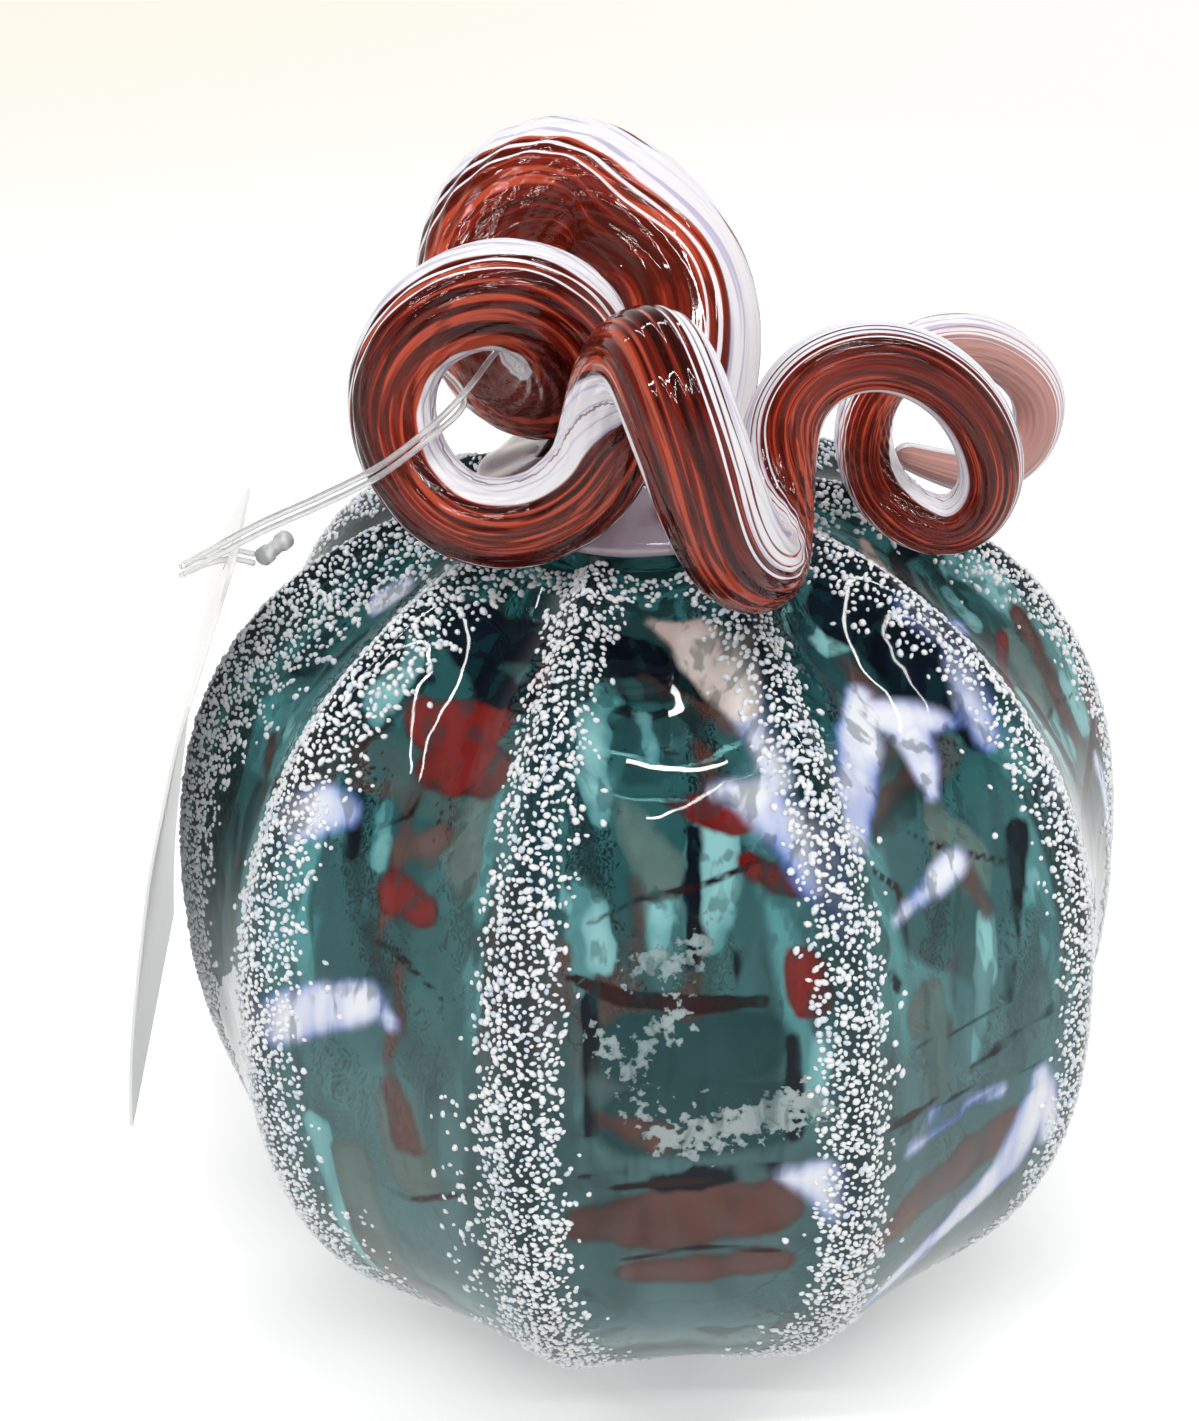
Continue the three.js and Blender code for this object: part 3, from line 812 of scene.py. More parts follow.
FRONT_MELTS: dict[Melt, tuple[tuple[tuple[float, float, float], ...], ...]] = {
    Melt.RED: (
        ((-0.63, 127, 3.7), (-0.36, 130, 3.7)),
        ((-0.53, 122, 3.3), (-0.26, 123, 3.7)),
        ((-0.53, 104, 3.0), (-0.39, 103, 2.1)),
        ((0.36, 122, 1.1), (0.60, 120, 1.9), (0.76, 118, 2.1)),
        ((0.76, 112, 1.4), (0.86, 109, 2.7), (0.92, 107, 1.6)),
        ((0.87, 99, 2.3), (0.88, 95, 2.7)),
        ((-0.12, 138, 1.2), (-0.10, 134, 1.5)),
    ),
    Melt.RUST: (
        ((-0.60, 121, 1.0), (-0.55, 110, 1.0), (-0.55, 94, 0.8)),
        ((-0.46, 111, 1.8), (-0.40, 114, 1.6)),
        ((-0.47, 94, 1.5), (-0.44, 89, 1.2), (-0.49, 81, 0.8)),
        ((-1.35, 95, 1.6), (-1.30, 82, 2.1)),
        ((0.42, 140, 1.9), (0.68, 136, 2.5), (0.82, 130, 2.1)),
        ((0.62, 129, 1.2), (0.67, 122, 1.2)),
        ((0.34, 111, 1.2), (0.36, 101, 1.4)),
        ((0.23, 97, 0.8), (0.42, 95, 1.1), (0.74, 94, 0.8)),
        ((0.18, 64, 3.6), (0.45, 63, 5.4), (0.74, 65, 4.0)),
        ((0.26, 54, 1.4), (0.53, 53.5, 2.6), (0.80, 55, 1.4)),
        ((1.46, 122, 1.2), (1.30, 117, 1.4)),
        ((1.58, 135, 1.1), (1.55, 129, 0.8)),
        ((1.45, 92, 0.8), (1.39, 82, 1.1), (1.42, 77, 0.8)),
        ((1.56, 103, 0.8), (1.62, 96, 0.8)),
        ((1.08, 54, 1.6), (1.25, 57, 3.4), (1.48, 59, 4.6), (1.68, 61, 3.0)),
        ((2.79, 119, 1.9), (2.62, 104, 1.8)),
        ((-1.50, 112, 1.2), (-1.29, 106, 1.2)),
        ((0.40, 76, 1.6), (0.23, 80, 1.2)),
        ((0.52, 95, 1.0), (0.56, 103, 1.0)),
        ((-0.47, 78, 1.1), (-0.41, 70, 1.6)),
        ((0.12, 102, 1.0), (0.14, 95, 0.8)),
    ),
    Melt.POOL: (
        ((0.36, 89, 5.6), (0.68, 89, 5.6)),
        ((0.34, 79, 5.4), (0.72, 79, 5.4)),
        ((1.40, 137, 4.0), (1.62, 133, 4.0)),
    ),
    # painted light: bright aqua streaks where light shines through the teal glass
    Melt.AQUA: (
        ((-0.67, 115, 1.6), (-0.63, 107, 1.5)),
        ((-0.63, 102, 1.1), (-0.63, 93, 0.8)),
        ((-0.34, 112, 1.0), (-0.29, 108, 0.8)),
        ((0.20, 134, 2.1), (0.17, 126, 2.3), (0.22, 118, 1.9)),
        ((0.38, 133, 1.6), (0.42, 127, 1.8)),
        ((0.62, 115, 3.1), (0.60, 109, 3.5), (0.58, 103, 2.8)),
        ((0.41, 107, 2.2), (0.42, 102, 2.1)),
        ((0.10, 118, 1.0), (0.12, 108, 1.0)),
        ((0.90, 89, 1.1), (0.88, 80, 1.1)),
        ((1.57, 139, 1.6), (1.70, 136, 1.4)),
        ((1.25, 116, 1.6), (1.25, 113, 1.1)),
        ((1.60, 95, 1.0), (1.54, 84, 1.6), (1.50, 75, 1.2)),
        ((-1.55, 118, 1.4), (-1.20, 111, 1.5)),
        ((-0.93, 133, 1.6), (-0.84, 124, 1.4)),
        ((0.23, 108, 1.4), (0.23, 101, 1.5)),
        ((1.80, 97, 1.4), (1.72, 87, 1.4)),
        ((-0.78, 66, 1.4), (-0.76, 50, 1.7), (-0.72, 36, 1.4)),
    ),
    Melt.SMOKE: (
        ((0.35, 119, 3.4), (0.42, 112, 3.8)),
        ((-0.30, 118, 2.8), (-0.27, 109, 2.6)),
        ((1.30, 88, 3.2), (1.36, 74, 3.0)),
        ((1.52, 110, 2.6), (1.62, 100, 2.2)),
        ((-0.45, 74, 3.0), (-0.40, 64, 3.6)),
        ((-1.45, 92, 2.2), (-1.40, 80, 2.0)),
        ((-0.66, 62, 3.0), (-0.62, 44, 4.4), (-0.55, 28, 4.0)),
    ),
    Melt.INK: (
        ((-0.73, 142, 3.8), (-0.20, 142, 3.6)),
        ((-0.63, 138, 2.5), (-0.15, 133, 1.9)),
        ((-0.77, 115, 1.5), (-0.73, 107, 1.6)),
        ((0.14, 141, 3.6), (0.40, 142, 2.7), (0.70, 136, 1.6)),
        ((0.56, 117, 0.8), (0.53, 100, 1.0)),
        ((0.15, 72, 0.8), (0.30, 72, 0.8)),
        ((0.19, 71, 0.7), (0.47, 69, 0.8), (0.77, 71, 0.7)),
        ((0.20, 96, 0.8), (0.20, 78, 1.1)),
        ((0.81, 89, 0.8), (0.81, 76, 0.8)),
        ((1.75, 143, 3.8), (1.82, 135, 4.7), (1.81, 123, 3.6), (1.84, 116, 1.9)),
        ((1.16, 72, 0.8), (1.43, 74, 0.8), (1.83, 77, 0.8)),
        ((1.81, 104, 1.1), (1.67, 82, 1.1)),
        ((1.11, 97, 1.5), (1.16, 93, 1.1)),
        ((-1.01, 133, 1.8), (-0.99, 125, 1.4)),
        ((0.67, 101, 0.8), (0.67, 96, 0.8)),
        ((0.83, 114, 1.2), (0.91, 113, 1.2)),
        ((0.94, 140, 1.9), (1.00, 125, 1.1)),
    ),
    Melt.SEAM: (
        ((0.15, 99, 0.7), (0.30, 96, 1.1), (0.52, 94.5, 1.3), (0.74, 94.5, 1.0)),
        ((0.20, 105.5, 0.2), (0.36, 108.5, 0.4), (0.57, 109.7, 0.4), (0.77, 112, 0.3)),
        ((0.18, 71.2, 0.9), (0.28, 69.2, 0.7), (0.50, 69.2, 0.5), (0.77, 71, 0.4)),
        ((0.28, 56.5, 0.3), (0.53, 57.8, 0.5), (0.77, 56.8, 0.3)),
        ((-0.66, 98.3, 0.3), (-0.46, 96.2, 0.6), (-0.27, 92.8, 0.4)),
        ((-0.68, 59.3, 0.2), (-0.43, 59.3, 0.4), (-0.20, 65.3, 0.3)),
        ((-0.69, 111, 0.3), (-0.56, 114.7, 0.4), (-0.54, 118.8, 0.3)),
        ((1.16, 108, 0.5), (1.26, 104, 0.6), (1.24, 97, 0.4)),
        ((1.30, 113, 0.2), (1.54, 105.5, 0.4), (1.75, 100.3, 0.3)),
        ((1.12, 74, 1.0), (1.44, 71.2, 0.7), (1.80, 69.2, 0.5)),
        ((1.18, 83.5, 0.3), (1.44, 81.5, 0.5), (1.71, 81, 0.3)),
    ),
    Melt.OPAL: (
        ((-0.95, 80, 3.3), (-0.71, 86, 3.7), (-0.55, 89, 2.7)),
        ((-0.55, 89, 1.9), (-0.48, 87, 1.5)),
        ((-0.93, 109, 3.3), (-0.82, 112, 3.0)),
        ((0.85, 133, 1.9), (0.88, 126, 1.6), (0.91, 121, 1.4)),
        ((0.69, 122, 1.2), (0.81, 120, 2.3), (0.91, 113, 2.9), (0.96, 107, 2.7)),
        ((0.79, 70, 1.1), (0.89, 69, 3.0), (0.94, 63, 1.6)),
        ((1.49, 130, 1.8), (1.34, 124, 4.2), (1.20, 117.5, 4.0), (1.12, 112, 2.2)),
        ((1.46, 127.5, 2.4), (1.65, 124, 2.2), (1.79, 120, 0.8)),
        ((1.62, 121.5, 2.4), (1.60, 117.5, 2.2), (1.57, 113.5, 1.0)),
        ((1.54, 103.5, 1.9), (1.36, 102, 1.6), (1.21, 100.7, 0.5)),
        ((1.15, 37, 1.6), (1.44, 45, 2.8), (1.70, 52, 3.4), (1.80, 63, 2.8)),
        ((1.30, 71.5, 0.7), (1.63, 68, 1.2)),
        ((1.97, 136, 2.0), (1.98, 130, 1.7)),
        ((1.21, 68, 1.0), (1.44, 68, 0.8)),
        ((1.99, 135, 1.9), (2.45, 128, 2.2)),
        ((1.95, 127, 1.6), (1.90, 121, 2.1), (1.86, 115.5, 1.5)),
        ((1.80, 67, 1.9), (1.90, 55, 1.6)),
        ((0.98, 114, 1.5), (1.00, 106, 1.9), (1.00, 101, 1.1)),
        ((2.77, 93, 1.0), (2.92, 65, 1.2)),
        ((-1.05, 95, 0.8), (-1.00, 88, 0.8)),
        ((-1.61, 137, 1.9), (-1.54, 141, 1.4)),
    ),
    Melt.CREAM: (
        ((0.45, 147, 1.1), (0.68, 144, 2.9), (0.81, 137, 3.4), (0.85, 132, 1.9)),
        ((0.88, 139, 1.9), (0.96, 140, 1.4)),
    ),
    Melt.FLAKE: (
        ((0.36, 100, 1.1), (0.46, 100, 1.2), (0.55, 102, 1.2)),
        ((0.23, 91.5, 0.2), (0.31, 86, 0.1), (0.38, 79, 0.2)),
        ((0.43, 76, 1.0), (0.59, 77, 1.6), (0.74, 79, 2.6), (0.87, 80, 1.9)),
        ((0.46, 93, 0.8), (0.35, 88, 0.8)),
    ),
}


def turned(strands: Sequence[Strand], about: float, lift: float) -> list[Strand]:
    """Strands but for flakes, mirrored about half of a rib number and moved up the wall."""
    made = []
    for strand in strands:
        if strand.melt is not Melt.FLAKE:
            rows = tuple((about - ribs, climb + lift, half) for ribs, climb, half in strand.points)
            made.append(Strand(strand.melt, rows))
    return made


def melted_strands() -> tuple[Strand, ...]:
    """The strands seen from the front, and mirrored ones at the right side and at the back."""
    front = [Strand(melt, rows) for melt, strands in FRONT_MELTS.items() for rows in strands]
    near = [strand for strand in front if all(-0.97 < ribs < 0.97 for ribs, _, _ in strand.points)]
    return (*front, *turned(near, 3.0, -1.5), *turned(front, 6.0, -3.0))


@dataclass
class BlownBody:
    """The hollow ribbed body: sizes of its wall and where its colours lie."""

    rib_count: int = 10
    first_rib: float = math.radians(-14.5)
    belly_radius: float = 66 * MM
    belly_height: float = 56 * MM
    height: float = 121 * MM
    foot_radius: float = 33 * MM
    foot_ring_width: float = 7 * MM
    punty_depth: float = 2.5 * MM
    crown_fullness: float = 2.5
    keel_fullness: float = 2.25
    wall: float = 4 * MM
    inner_ribbing: float = 0.6
    lip_radius: float = 22 * MM
    seat_radius: float = 15.5 * MM
    seat_sink: float = 2.4 * MM
    neck_radius: float = 7 * MM
    valley_at_lip: float = 3 * MM
    valley_at_shoulder: float = 6.5 * MM
    valley_at_belly: float = 3.8 * MM
    valley_at_foot: float = 1.6 * MM
    shoulder: float = math.radians(52)
    crest_rounding: float = 0.12
    ripple: float = 0.35 * MM
    steps_round: int = 360
    keel_steps: int = 74
    crown_steps: int = 84
    depth_limits: Span = (-6.0, 8.0)
    beyond_wall: float = 20 * MM
    strands: tuple[Strand, ...] = field(default_factory=melted_strands)

    def __post_init__(self) -> None:
        """Works out the profile's limits."""
        lip, foot = self.lip_radius / self.belly_radius, self.foot_radius / self.belly_radius
        foot_share = foot ** self.keel_fullness
        self.keel_drop = self.belly_height / (1 - foot_share) ** (1 / self.keel_fullness)
        self.lip_angle = math.acos(lip ** (self.crown_fullness / 2))
        self.foot_angle = math.acos(foot ** (self.keel_fullness / 2))

    def stations(self, angles: np.ndarray) -> np.ndarray:
        """Profile stations at the given heights on the two curves.

        Args:
            angles: radians, negative below the belly.

        Returns:
            Rows of radius, height, normal out, normal up, valley depth.
        """
        crown = angles >= 0
        size = np.abs(angles)
        fullness = np.where(crown, self.crown_fullness, self.keel_fullness)
        rise = np.where(crown, self.height - self.belly_height, -self.keel_drop)
        out = np.cos(size) ** (2 / fullness)
        up = np.sin(size) ** (2 / fullness)
        slope = [out ** (fullness - 1) / self.belly_radius, up ** (fullness - 1) / rise]
        belly, shoulder = self.valley_at_belly, self.valley_at_shoulder
        low = belly + (shoulder - belly) * smooth(size, 0, self.shoulder)
        past_shoulder = smooth(size, self.shoulder, self.lip_angle)
        top = shoulder + (self.valley_at_lip - shoulder) * past_shoulder
        keel = belly + (self.valley_at_foot - belly) * size / self.foot_angle
        valley = np.where(crown, np.where(size > self.shoulder, top, low), keel)
        height = self.belly_height + rise * up
        normals = unit_rows(np.stack(slope, 1))
        return np.column_stack([self.belly_radius * out, height, normals, valley])

    def wall_stations(self, keel_steps: int, crown_steps: int) -> np.ndarray:
        """Stations from the foot to the lip."""
        keel = np.linspace(-self.foot_angle, 0, keel_steps, endpoint=False)
        crown = np.linspace(0, self.lip_angle, crown_steps)
        return self.stations(np.concatenate([keel, crown]))

    @staticmethod
    def climb(stations: np.ndarray) -> np.ndarray:
        """Length along the profile at each station."""
        steps = np.hypot(np.diff(stations[:, 0]), np.diff(stations[:, 1]))
        return np.concatenate([[0.0], np.cumsum(steps)])

    def lip_height(self) -> float:
        """Height where the crown turns down to the seat."""
        return float(self.wall_stations(8, 8)[-1, 1])

    @staticmethod
    def flat_rows(*corners: tuple[float, float]) -> np.ndarray:
        """Stations of a radius and a height that no rib presses."""
        return np.array([(radius, height, 0.0, 0.0, 0.0) for radius, height in corners])

    def lathe(
        self, name: str, rows: np.ndarray, turns: np.ndarray, closed: bool,
        material: bpy.types.Material,
    ) -> bpy.types.Object:
        """A turned mesh that carries what the ribbing tree reads.

        Args:
            name: the object's name.
            rows: stations of radius, height, normal out, normal up, valley depth.
            turns: the turn of each column in radians, from the front towards +X.
            closed: whether the rows run from pole to pole and all the way round.
            material: the finish.

        Returns:
            The object, not yet ribbed.
        """
        sine, cosine = np.sin(turns), np.cos(turns)

        def around(out: np.ndarray, up: np.ndarray) -> np.ndarray:
            """Points or directions of a profile at every turn."""
            sides = [np.outer(out, sine), np.outer(out, -cosine), np.outer(up, np.ones_like(sine))]
            return np.stack(sides, -1).reshape(-1, 3)

        points, lean = around(rows[:, 0], rows[:, 1]), around(rows[:, 2], rows[:, 3])
        valley = np.repeat(rows[:, 4], len(turns))
        if closed:
            poles = np.array([[0, 0, self.punty_depth], [0, 0, self.punty_depth + self.wall]])
            points, lean = np.vstack([points, poles]), np.vstack([lean, np.zeros((2, 3))])
            valley = np.append(valley, [0.0, 0.0])
        made = mesh_object(name, points, ring_faces(len(rows), len(turns), closed), material)
        mark_points(made, Mark.LEAN, lean)
        mark_points(made, Mark.VALLEY, valley)
        return made

    def ribbing_tree(self, material: bpy.types.Material) -> bpy.types.NodeTree:
        """Geometry Nodes that press the valleys between the ribs into a turned mesh.

        Args:
            material: set on the result.

        Returns:
            The tree, with Rib Count, First Rib, Crest Rounding and Ripple as its named inputs.
        """
        tree = bpy.data.node_groups.new("ribbing", "GeometryNodeTree")
        bench, given = grouped(tree, (
            ("Rib Count", "NodeSocketFloat", float(self.rib_count)),
            ("First Rib", "NodeSocketFloat", self.first_rib),
            ("Crest Rounding", "NodeSocketFloat", self.crest_rounding),
            ("Ripple", "NodeSocketFloat", self.ripple),
        ))
        position = bench.node("GeometryNodeInputPosition")
        turn = bench.axis(position, "X").turn_from(0.0 - bench.axis(position, "Y"))
        ribs = (turn - given["First Rib"]) * given["Rib Count"] * (1 / math.tau)
        share = ((ribs + 0.5 + given["Rib Count"]).fraction() - 0.5).absolute() * 2.0
        nose = given["Crest Rounding"]
        rounded = (share * share + nose * nose).root() - nose
        even = rounded / ((1.0 + nose * nose).root() - nose)
        valley = bench.stored(Mark.VALLEY)
        wave = bench.noise(position, 26.0) + bench.noise(position, 70.0, 1.0) * 0.4
        ripple = (wave - 0.7) * given["Ripple"] * valley.above(0.0, 2.0 * MM)
        sunk = ripple - valley * even * (2.0 - even)
        moved = bench.vectors("SCALE", {0: bench.stored(Mark.LEAN, "FLOAT_VECTOR"), "Scale": sunk})
        values = {"Geometry": given["Geometry"], "Offset": moved}
        finish_tree(bench, bench.node("GeometryNodeSetPosition", None, values), material)
        return tree

    def mark_colours(
        self, made: bpy.types.Object, turns: np.ndarray, climb: np.ndarray, radius: np.ndarray,
    ) -> None:
        """Stores how deep each vertex lies in each kind of colour, in millimetres.

        Args:
            made: the body's object.
            turns: turn of each vertex.
            climb: length up the wall at each vertex.
            radius: distance of each vertex from the axis.
        """
        ribs = (turns - self.first_rib) / (math.tau / self.rib_count)
        width = radius * math.tau / self.rib_count / MM
        up = climb / MM
        mark_points(made, Mark.CREST_REACH, np.abs((ribs + 0.5) % 1.0 - 0.5) * width)
        mark_points(made, Mark.CLIMB, up)
        lowest, highest = self.depth_limits
        for melt in Melt:
            depth = np.full(len(ribs), lowest)
            for strand in (s for s in self.strands if s.melt is melt):
                depth = np.maximum(depth, self.depth_in(strand, ribs, up, width))
            mark_points(made, melt, np.clip(depth, lowest, highest))

    def depth_in(
        self, strand: Strand, ribs: np.ndarray, up: np.ndarray, width: np.ndarray,
    ) -> np.ndarray:
        """Millimetres inside a strand's edge, negative outside it.

        Args:
            strand: the strand.
            ribs: how many ribs to the right of the first one each vertex lies.
            up: millimetres up the wall.
            width: millimetres from rib to rib at each vertex.

        Returns:
            One number per vertex.
        """
        best = np.full(len(ribs), -np.inf)
        half_round = self.rib_count / 2
        for (rib_a, up_a, half_a), (rib_b, up_b, half_b) in zip(strand.points, strand.points[1:]):
            across = ((ribs - rib_a + half_round) % self.rib_count - half_round) * width
            span, rise, lift = (rib_b - rib_a) * width, up - up_a, up_b - up_a
            squared = span * span + lift * lift + 1e-9
            share = np.clip((across * span + rise * lift) / squared, 0, 1)
            away = np.hypot(across - share * span, rise - share * lift)
            best = np.maximum(best, half_a + (half_b - half_a) * share - away)
        return best

    def build(self, material: bpy.types.Material) -> bpy.types.Object:
        """Makes the whole closed body."""
        outer = self.wall_stations(self.keel_steps, self.crown_steps)
        climb = self.climb(outer)
        outer[0, 2:] = 0
        inner = self.wall_stations(self.keel_steps // 2, self.crown_steps // 2)[::-1].copy()
        inner[:, :2] -= inner[:, 2:4] * self.wall
        inner[:, 4] *= self.inner_ribbing
        ring = self.foot_radius - self.foot_ring_width
        foot = self.flat_rows(
            (ring * 0.45, self.punty_depth * 0.9), (ring * 0.85, self.punty_depth * 0.5),
            (ring, 0.0), (self.foot_radius * 0.94, 0.0),
        )
        seat = self.lip_height() - self.seat_sink
        neck = self.flat_rows(
            (self.seat_radius + 1.5 * MM, seat + 0.6 * MM), (self.seat_radius, seat),
            (self.neck_radius + 0.8 * MM, seat), (self.neck_radius, seat - 0.8 * MM),
            (self.neck_radius, seat - self.wall),
        )
        rows = np.vstack([foot, outer, neck, inner, self.flat_rows((ring, self.wall))])
        turns = np.arange(self.steps_round) / self.steps_round * math.tau - math.pi + self.first_rib
        body = self.lathe("blown_body", rows, turns, True, material)
        below, poles = -self.beyond_wall, [0.0, 0.0]
        climbs = np.concatenate([
            np.full(len(foot), below), climb, np.full(len(neck), climb[-1] + self.beyond_wall),
            climb[-1] * np.linspace(1, 0, len(inner)), [below],
        ])
        count = len(turns)
        around = np.append(np.tile(turns, len(rows)), poles)
        radius = np.append(np.repeat(rows[:, 0], count), poles)
        self.mark_colours(body, around, np.append(np.repeat(climbs, count), [below, below]), radius)
        inside = np.zeros(len(radius))
        inside[(len(foot) + len(outer) + len(neck)) * count:] = 1.0
        mark_points(body, Mark.INSIDE, inside)
        apply_tree(body, self.ribbing_tree(material))
        outward(body)
        return body


# Frit


@dataclass(frozen=True)
class Strays:
    """Loose grains beside a rib.

    They lie round a middle across the rib, over a reach, from a low climb to a high one, all in
    millimetres, and so densely.
    """

    rib: int
    middle: float
    reach: float
    low: float
    high: float
    density: float


@dataclass
class FritBands:
    """White grains fused along the crest of each rib, and strays beside them."""

    body: BlownBody
    core: float = 4.7 * MM
    grain: float = 0.90 * MM
    density: float = 2.4e6
    spacing: float = 0.65 * MM
    seed: int = 11
    lowest_climb: float = 3 * MM
    ring_climb: float = 149 * MM
    columns: int = 48
    rows: int = 90
    stray_fade: float = 8.0
    breadths: tuple[float, ...] = (1.05, 0.96, 1.05, 1.3, 1.0, 1.15, 1.25, 1.05, 2.3, 1.3)
    widths_up: tuple[Span, ...] = (
        (0, 1.5), (12, 1.35), (30, 1.1), (60, 1.0), (90, 1.0), (125, 0.85), (154, 0.95),
    )
    strays: tuple[Strays, ...] = (
        Strays(0, -7.5, 5.0, 22, 78, 0.22), Strays(9, 9.0, 6.0, 10, 52, 0.16),
        Strays(0, 7.0, 3.0, 8, 30, 0.2), Strays(1, -6.5, 4.0, 6, 34, 0.25),
        Strays(1, 6.5, 3.0, 8, 40, 0.15), Strays(8, 11.0, 5.0, 40, 130, 0.18),
        Strays(3, 8.0, 5.0, 20, 70, 0.2), Strays(4, -8.0, 5.0, 30, 90, 0.18),
        Strays(6, 8.0, 5.0, 15, 60, 0.2), Strays(7, -7.0, 4.0, 20, 70, 0.2),
    )

    @staticmethod
    def pebble(material: bpy.types.Material) -> bpy.types.Object:
        """One low, rounded grain of unit size, in a few dozen faces."""
        work = bmesh.new()
        bmesh.ops.create_uvsphere(work, u_segments=7, v_segments=4, radius=0.5)
        for vertex in work.verts:
            bend = 1.0 + 0.10 * math.sin(5.0 * vertex.co.x + 3.0 * vertex.co.y)
            vertex.co = Vector((vertex.co.x * 1.2 * bend, vertex.co.y * bend, vertex.co.z * 0.76))
        made = drawn_object("pebble", work, material)
        made.data.shade_smooth()
        return made

    def scatter_tree(self, material: bpy.types.Material) -> bpy.types.NodeTree:
        """Geometry Nodes that scatter grains over a strip of the body.

        Args:
            material: the grains' finish.

        Returns:
            The tree, with Pebble, Grain, Density, Spacing and Seed as its named inputs.
        """
        tree = bpy.data.node_groups.new("frit_scatter", "GeometryNodeTree")
        bench, given = grouped(tree, (
            ("Pebble", "NodeSocketObject", None), ("Grain", "NodeSocketFloat", self.grain),
            ("Density", "NodeSocketFloat", self.density),
            ("Spacing", "NodeSocketFloat", self.spacing), ("Seed", "NodeSocketInt", self.seed),
        ))
        method = {"distribute_method": "POISSON"}
        points = bench.node("GeometryNodeDistributePointsOnFaces", method, {
            "Mesh": given["Geometry"], "Distance Min": given["Spacing"],
            "Density Max": given["Density"], "Density Factor": bench.stored(Mark.GRAIN_SHARE),
            "Seed": given["Seed"],
        }, "Points")

        def chance(low: float, high: float, offset: int) -> Wire:
            """A random number per point between low and high."""
            values = {2: low, 3: high, "Seed": given["Seed"] + offset}
            return bench.node("FunctionNodeRandomValue", {"data_type": "FLOAT"}, values, 1)

        upright = {0: (0.0, 0.0, 1.0), 1: chance(0.0, math.tau, 1)}
        spin = bench.node("FunctionNodeAxisAngleToRotation", None, upright)
        turned_grain = bench.node(
            "FunctionNodeRotateRotation", {"rotation_space": "LOCAL"},
            {0: points.sibling("Rotation"), 1: spin})
        size = given["Grain"] * (0.55 + chance(0.0, 1.0, 2) ** 1.7 * 0.62)
        stretch = chance(0.8, 1.35, 3)
        pebble = bench.node("GeometryNodeObjectInfo", None, {0: given["Pebble"]}, "Geometry")
        grains = bench.node("GeometryNodeInstanceOnPoints", None, {
            "Points": points, "Instance": pebble, "Rotation": turned_grain,
            "Scale": bench.joined(size * stretch, size / stretch ** 0.5, size),
        })
        finish_tree(bench, grains, material)
        return tree

    def strip(self, rib: int, material: bpy.types.Material) -> bpy.types.Object:
        """The body's surface along one crest, with the share of grains at each place."""
        stations = self.body.wall_stations(self.rows, self.rows)
        climb = self.body.climb(stations)
        keep = climb > self.lowest_climb
        stations, climb = stations[keep], climb[keep]
        pitch = math.tau / self.body.rib_count
        offsets = np.linspace(-0.5, 0.5, self.columns)
        turns = self.body.first_rib + (rib + offsets) * pitch
        made = self.body.lathe(f"frit_strip_{rib + 1:02d}", stations, turns, False, material)
        across = np.outer(stations[:, 0] * pitch, offsets)
        marks, widths = zip(*self.widths_up)
        up = climb / MM
        width = self.core * self.breadths[rib] * np.interp(up, marks, widths)[:, None]
        share = np.exp(-((np.abs(across) / width) ** 6) * 0.6)
        share = share + 0.06 * np.exp(-((np.abs(across) / (width * 1.7)) ** 4))
        share = share + smooth(climb, self.ring_climb, self.ring_climb + 3 * MM)[:, None]
        fade = self.stray_fade
        for stray in (s for s in self.strays if s.rib == rib):
            level = smooth(up, stray.low - fade, stray.low + fade)
            level = level * (1 - smooth(up, stray.high - fade, stray.high + fade))
            beside = np.exp(-(((across / MM - stray.middle) / stray.reach) ** 4))
            share = share + stray.density * level[:, None] * beside
        mark_points(made, Mark.GRAIN_SHARE, np.clip(share, 0, 1).ravel())
        return made

    def build(
        self, grains: bpy.types.Material, glass: bpy.types.Material,
    ) -> list[bpy.types.Object]:
        """Makes the grains of every rib.

        Args:
            grains: finish of the grains.
            glass: finish of the strips they are scattered on, which aren't kept.

        Returns:
            One object per rib.
        """
        pebble = self.pebble(grains)
        ribbing = self.body.ribbing_tree(glass)
        scatter = self.scatter_tree(grains)
        bands = []
        for rib in range(self.body.rib_count):
            strip = self.strip(rib, glass)
            apply_tree(strip, ribbing)
            apply_tree(strip, scatter, {"Pebble": pebble, "Seed": self.seed + rib})
            strip.name = f"frit_grains_{rib + 1:02d}"
            strip.data.name = strip.name
            bands.append(strip)
        bpy.data.objects.remove(pebble)
        return bands


# Stem


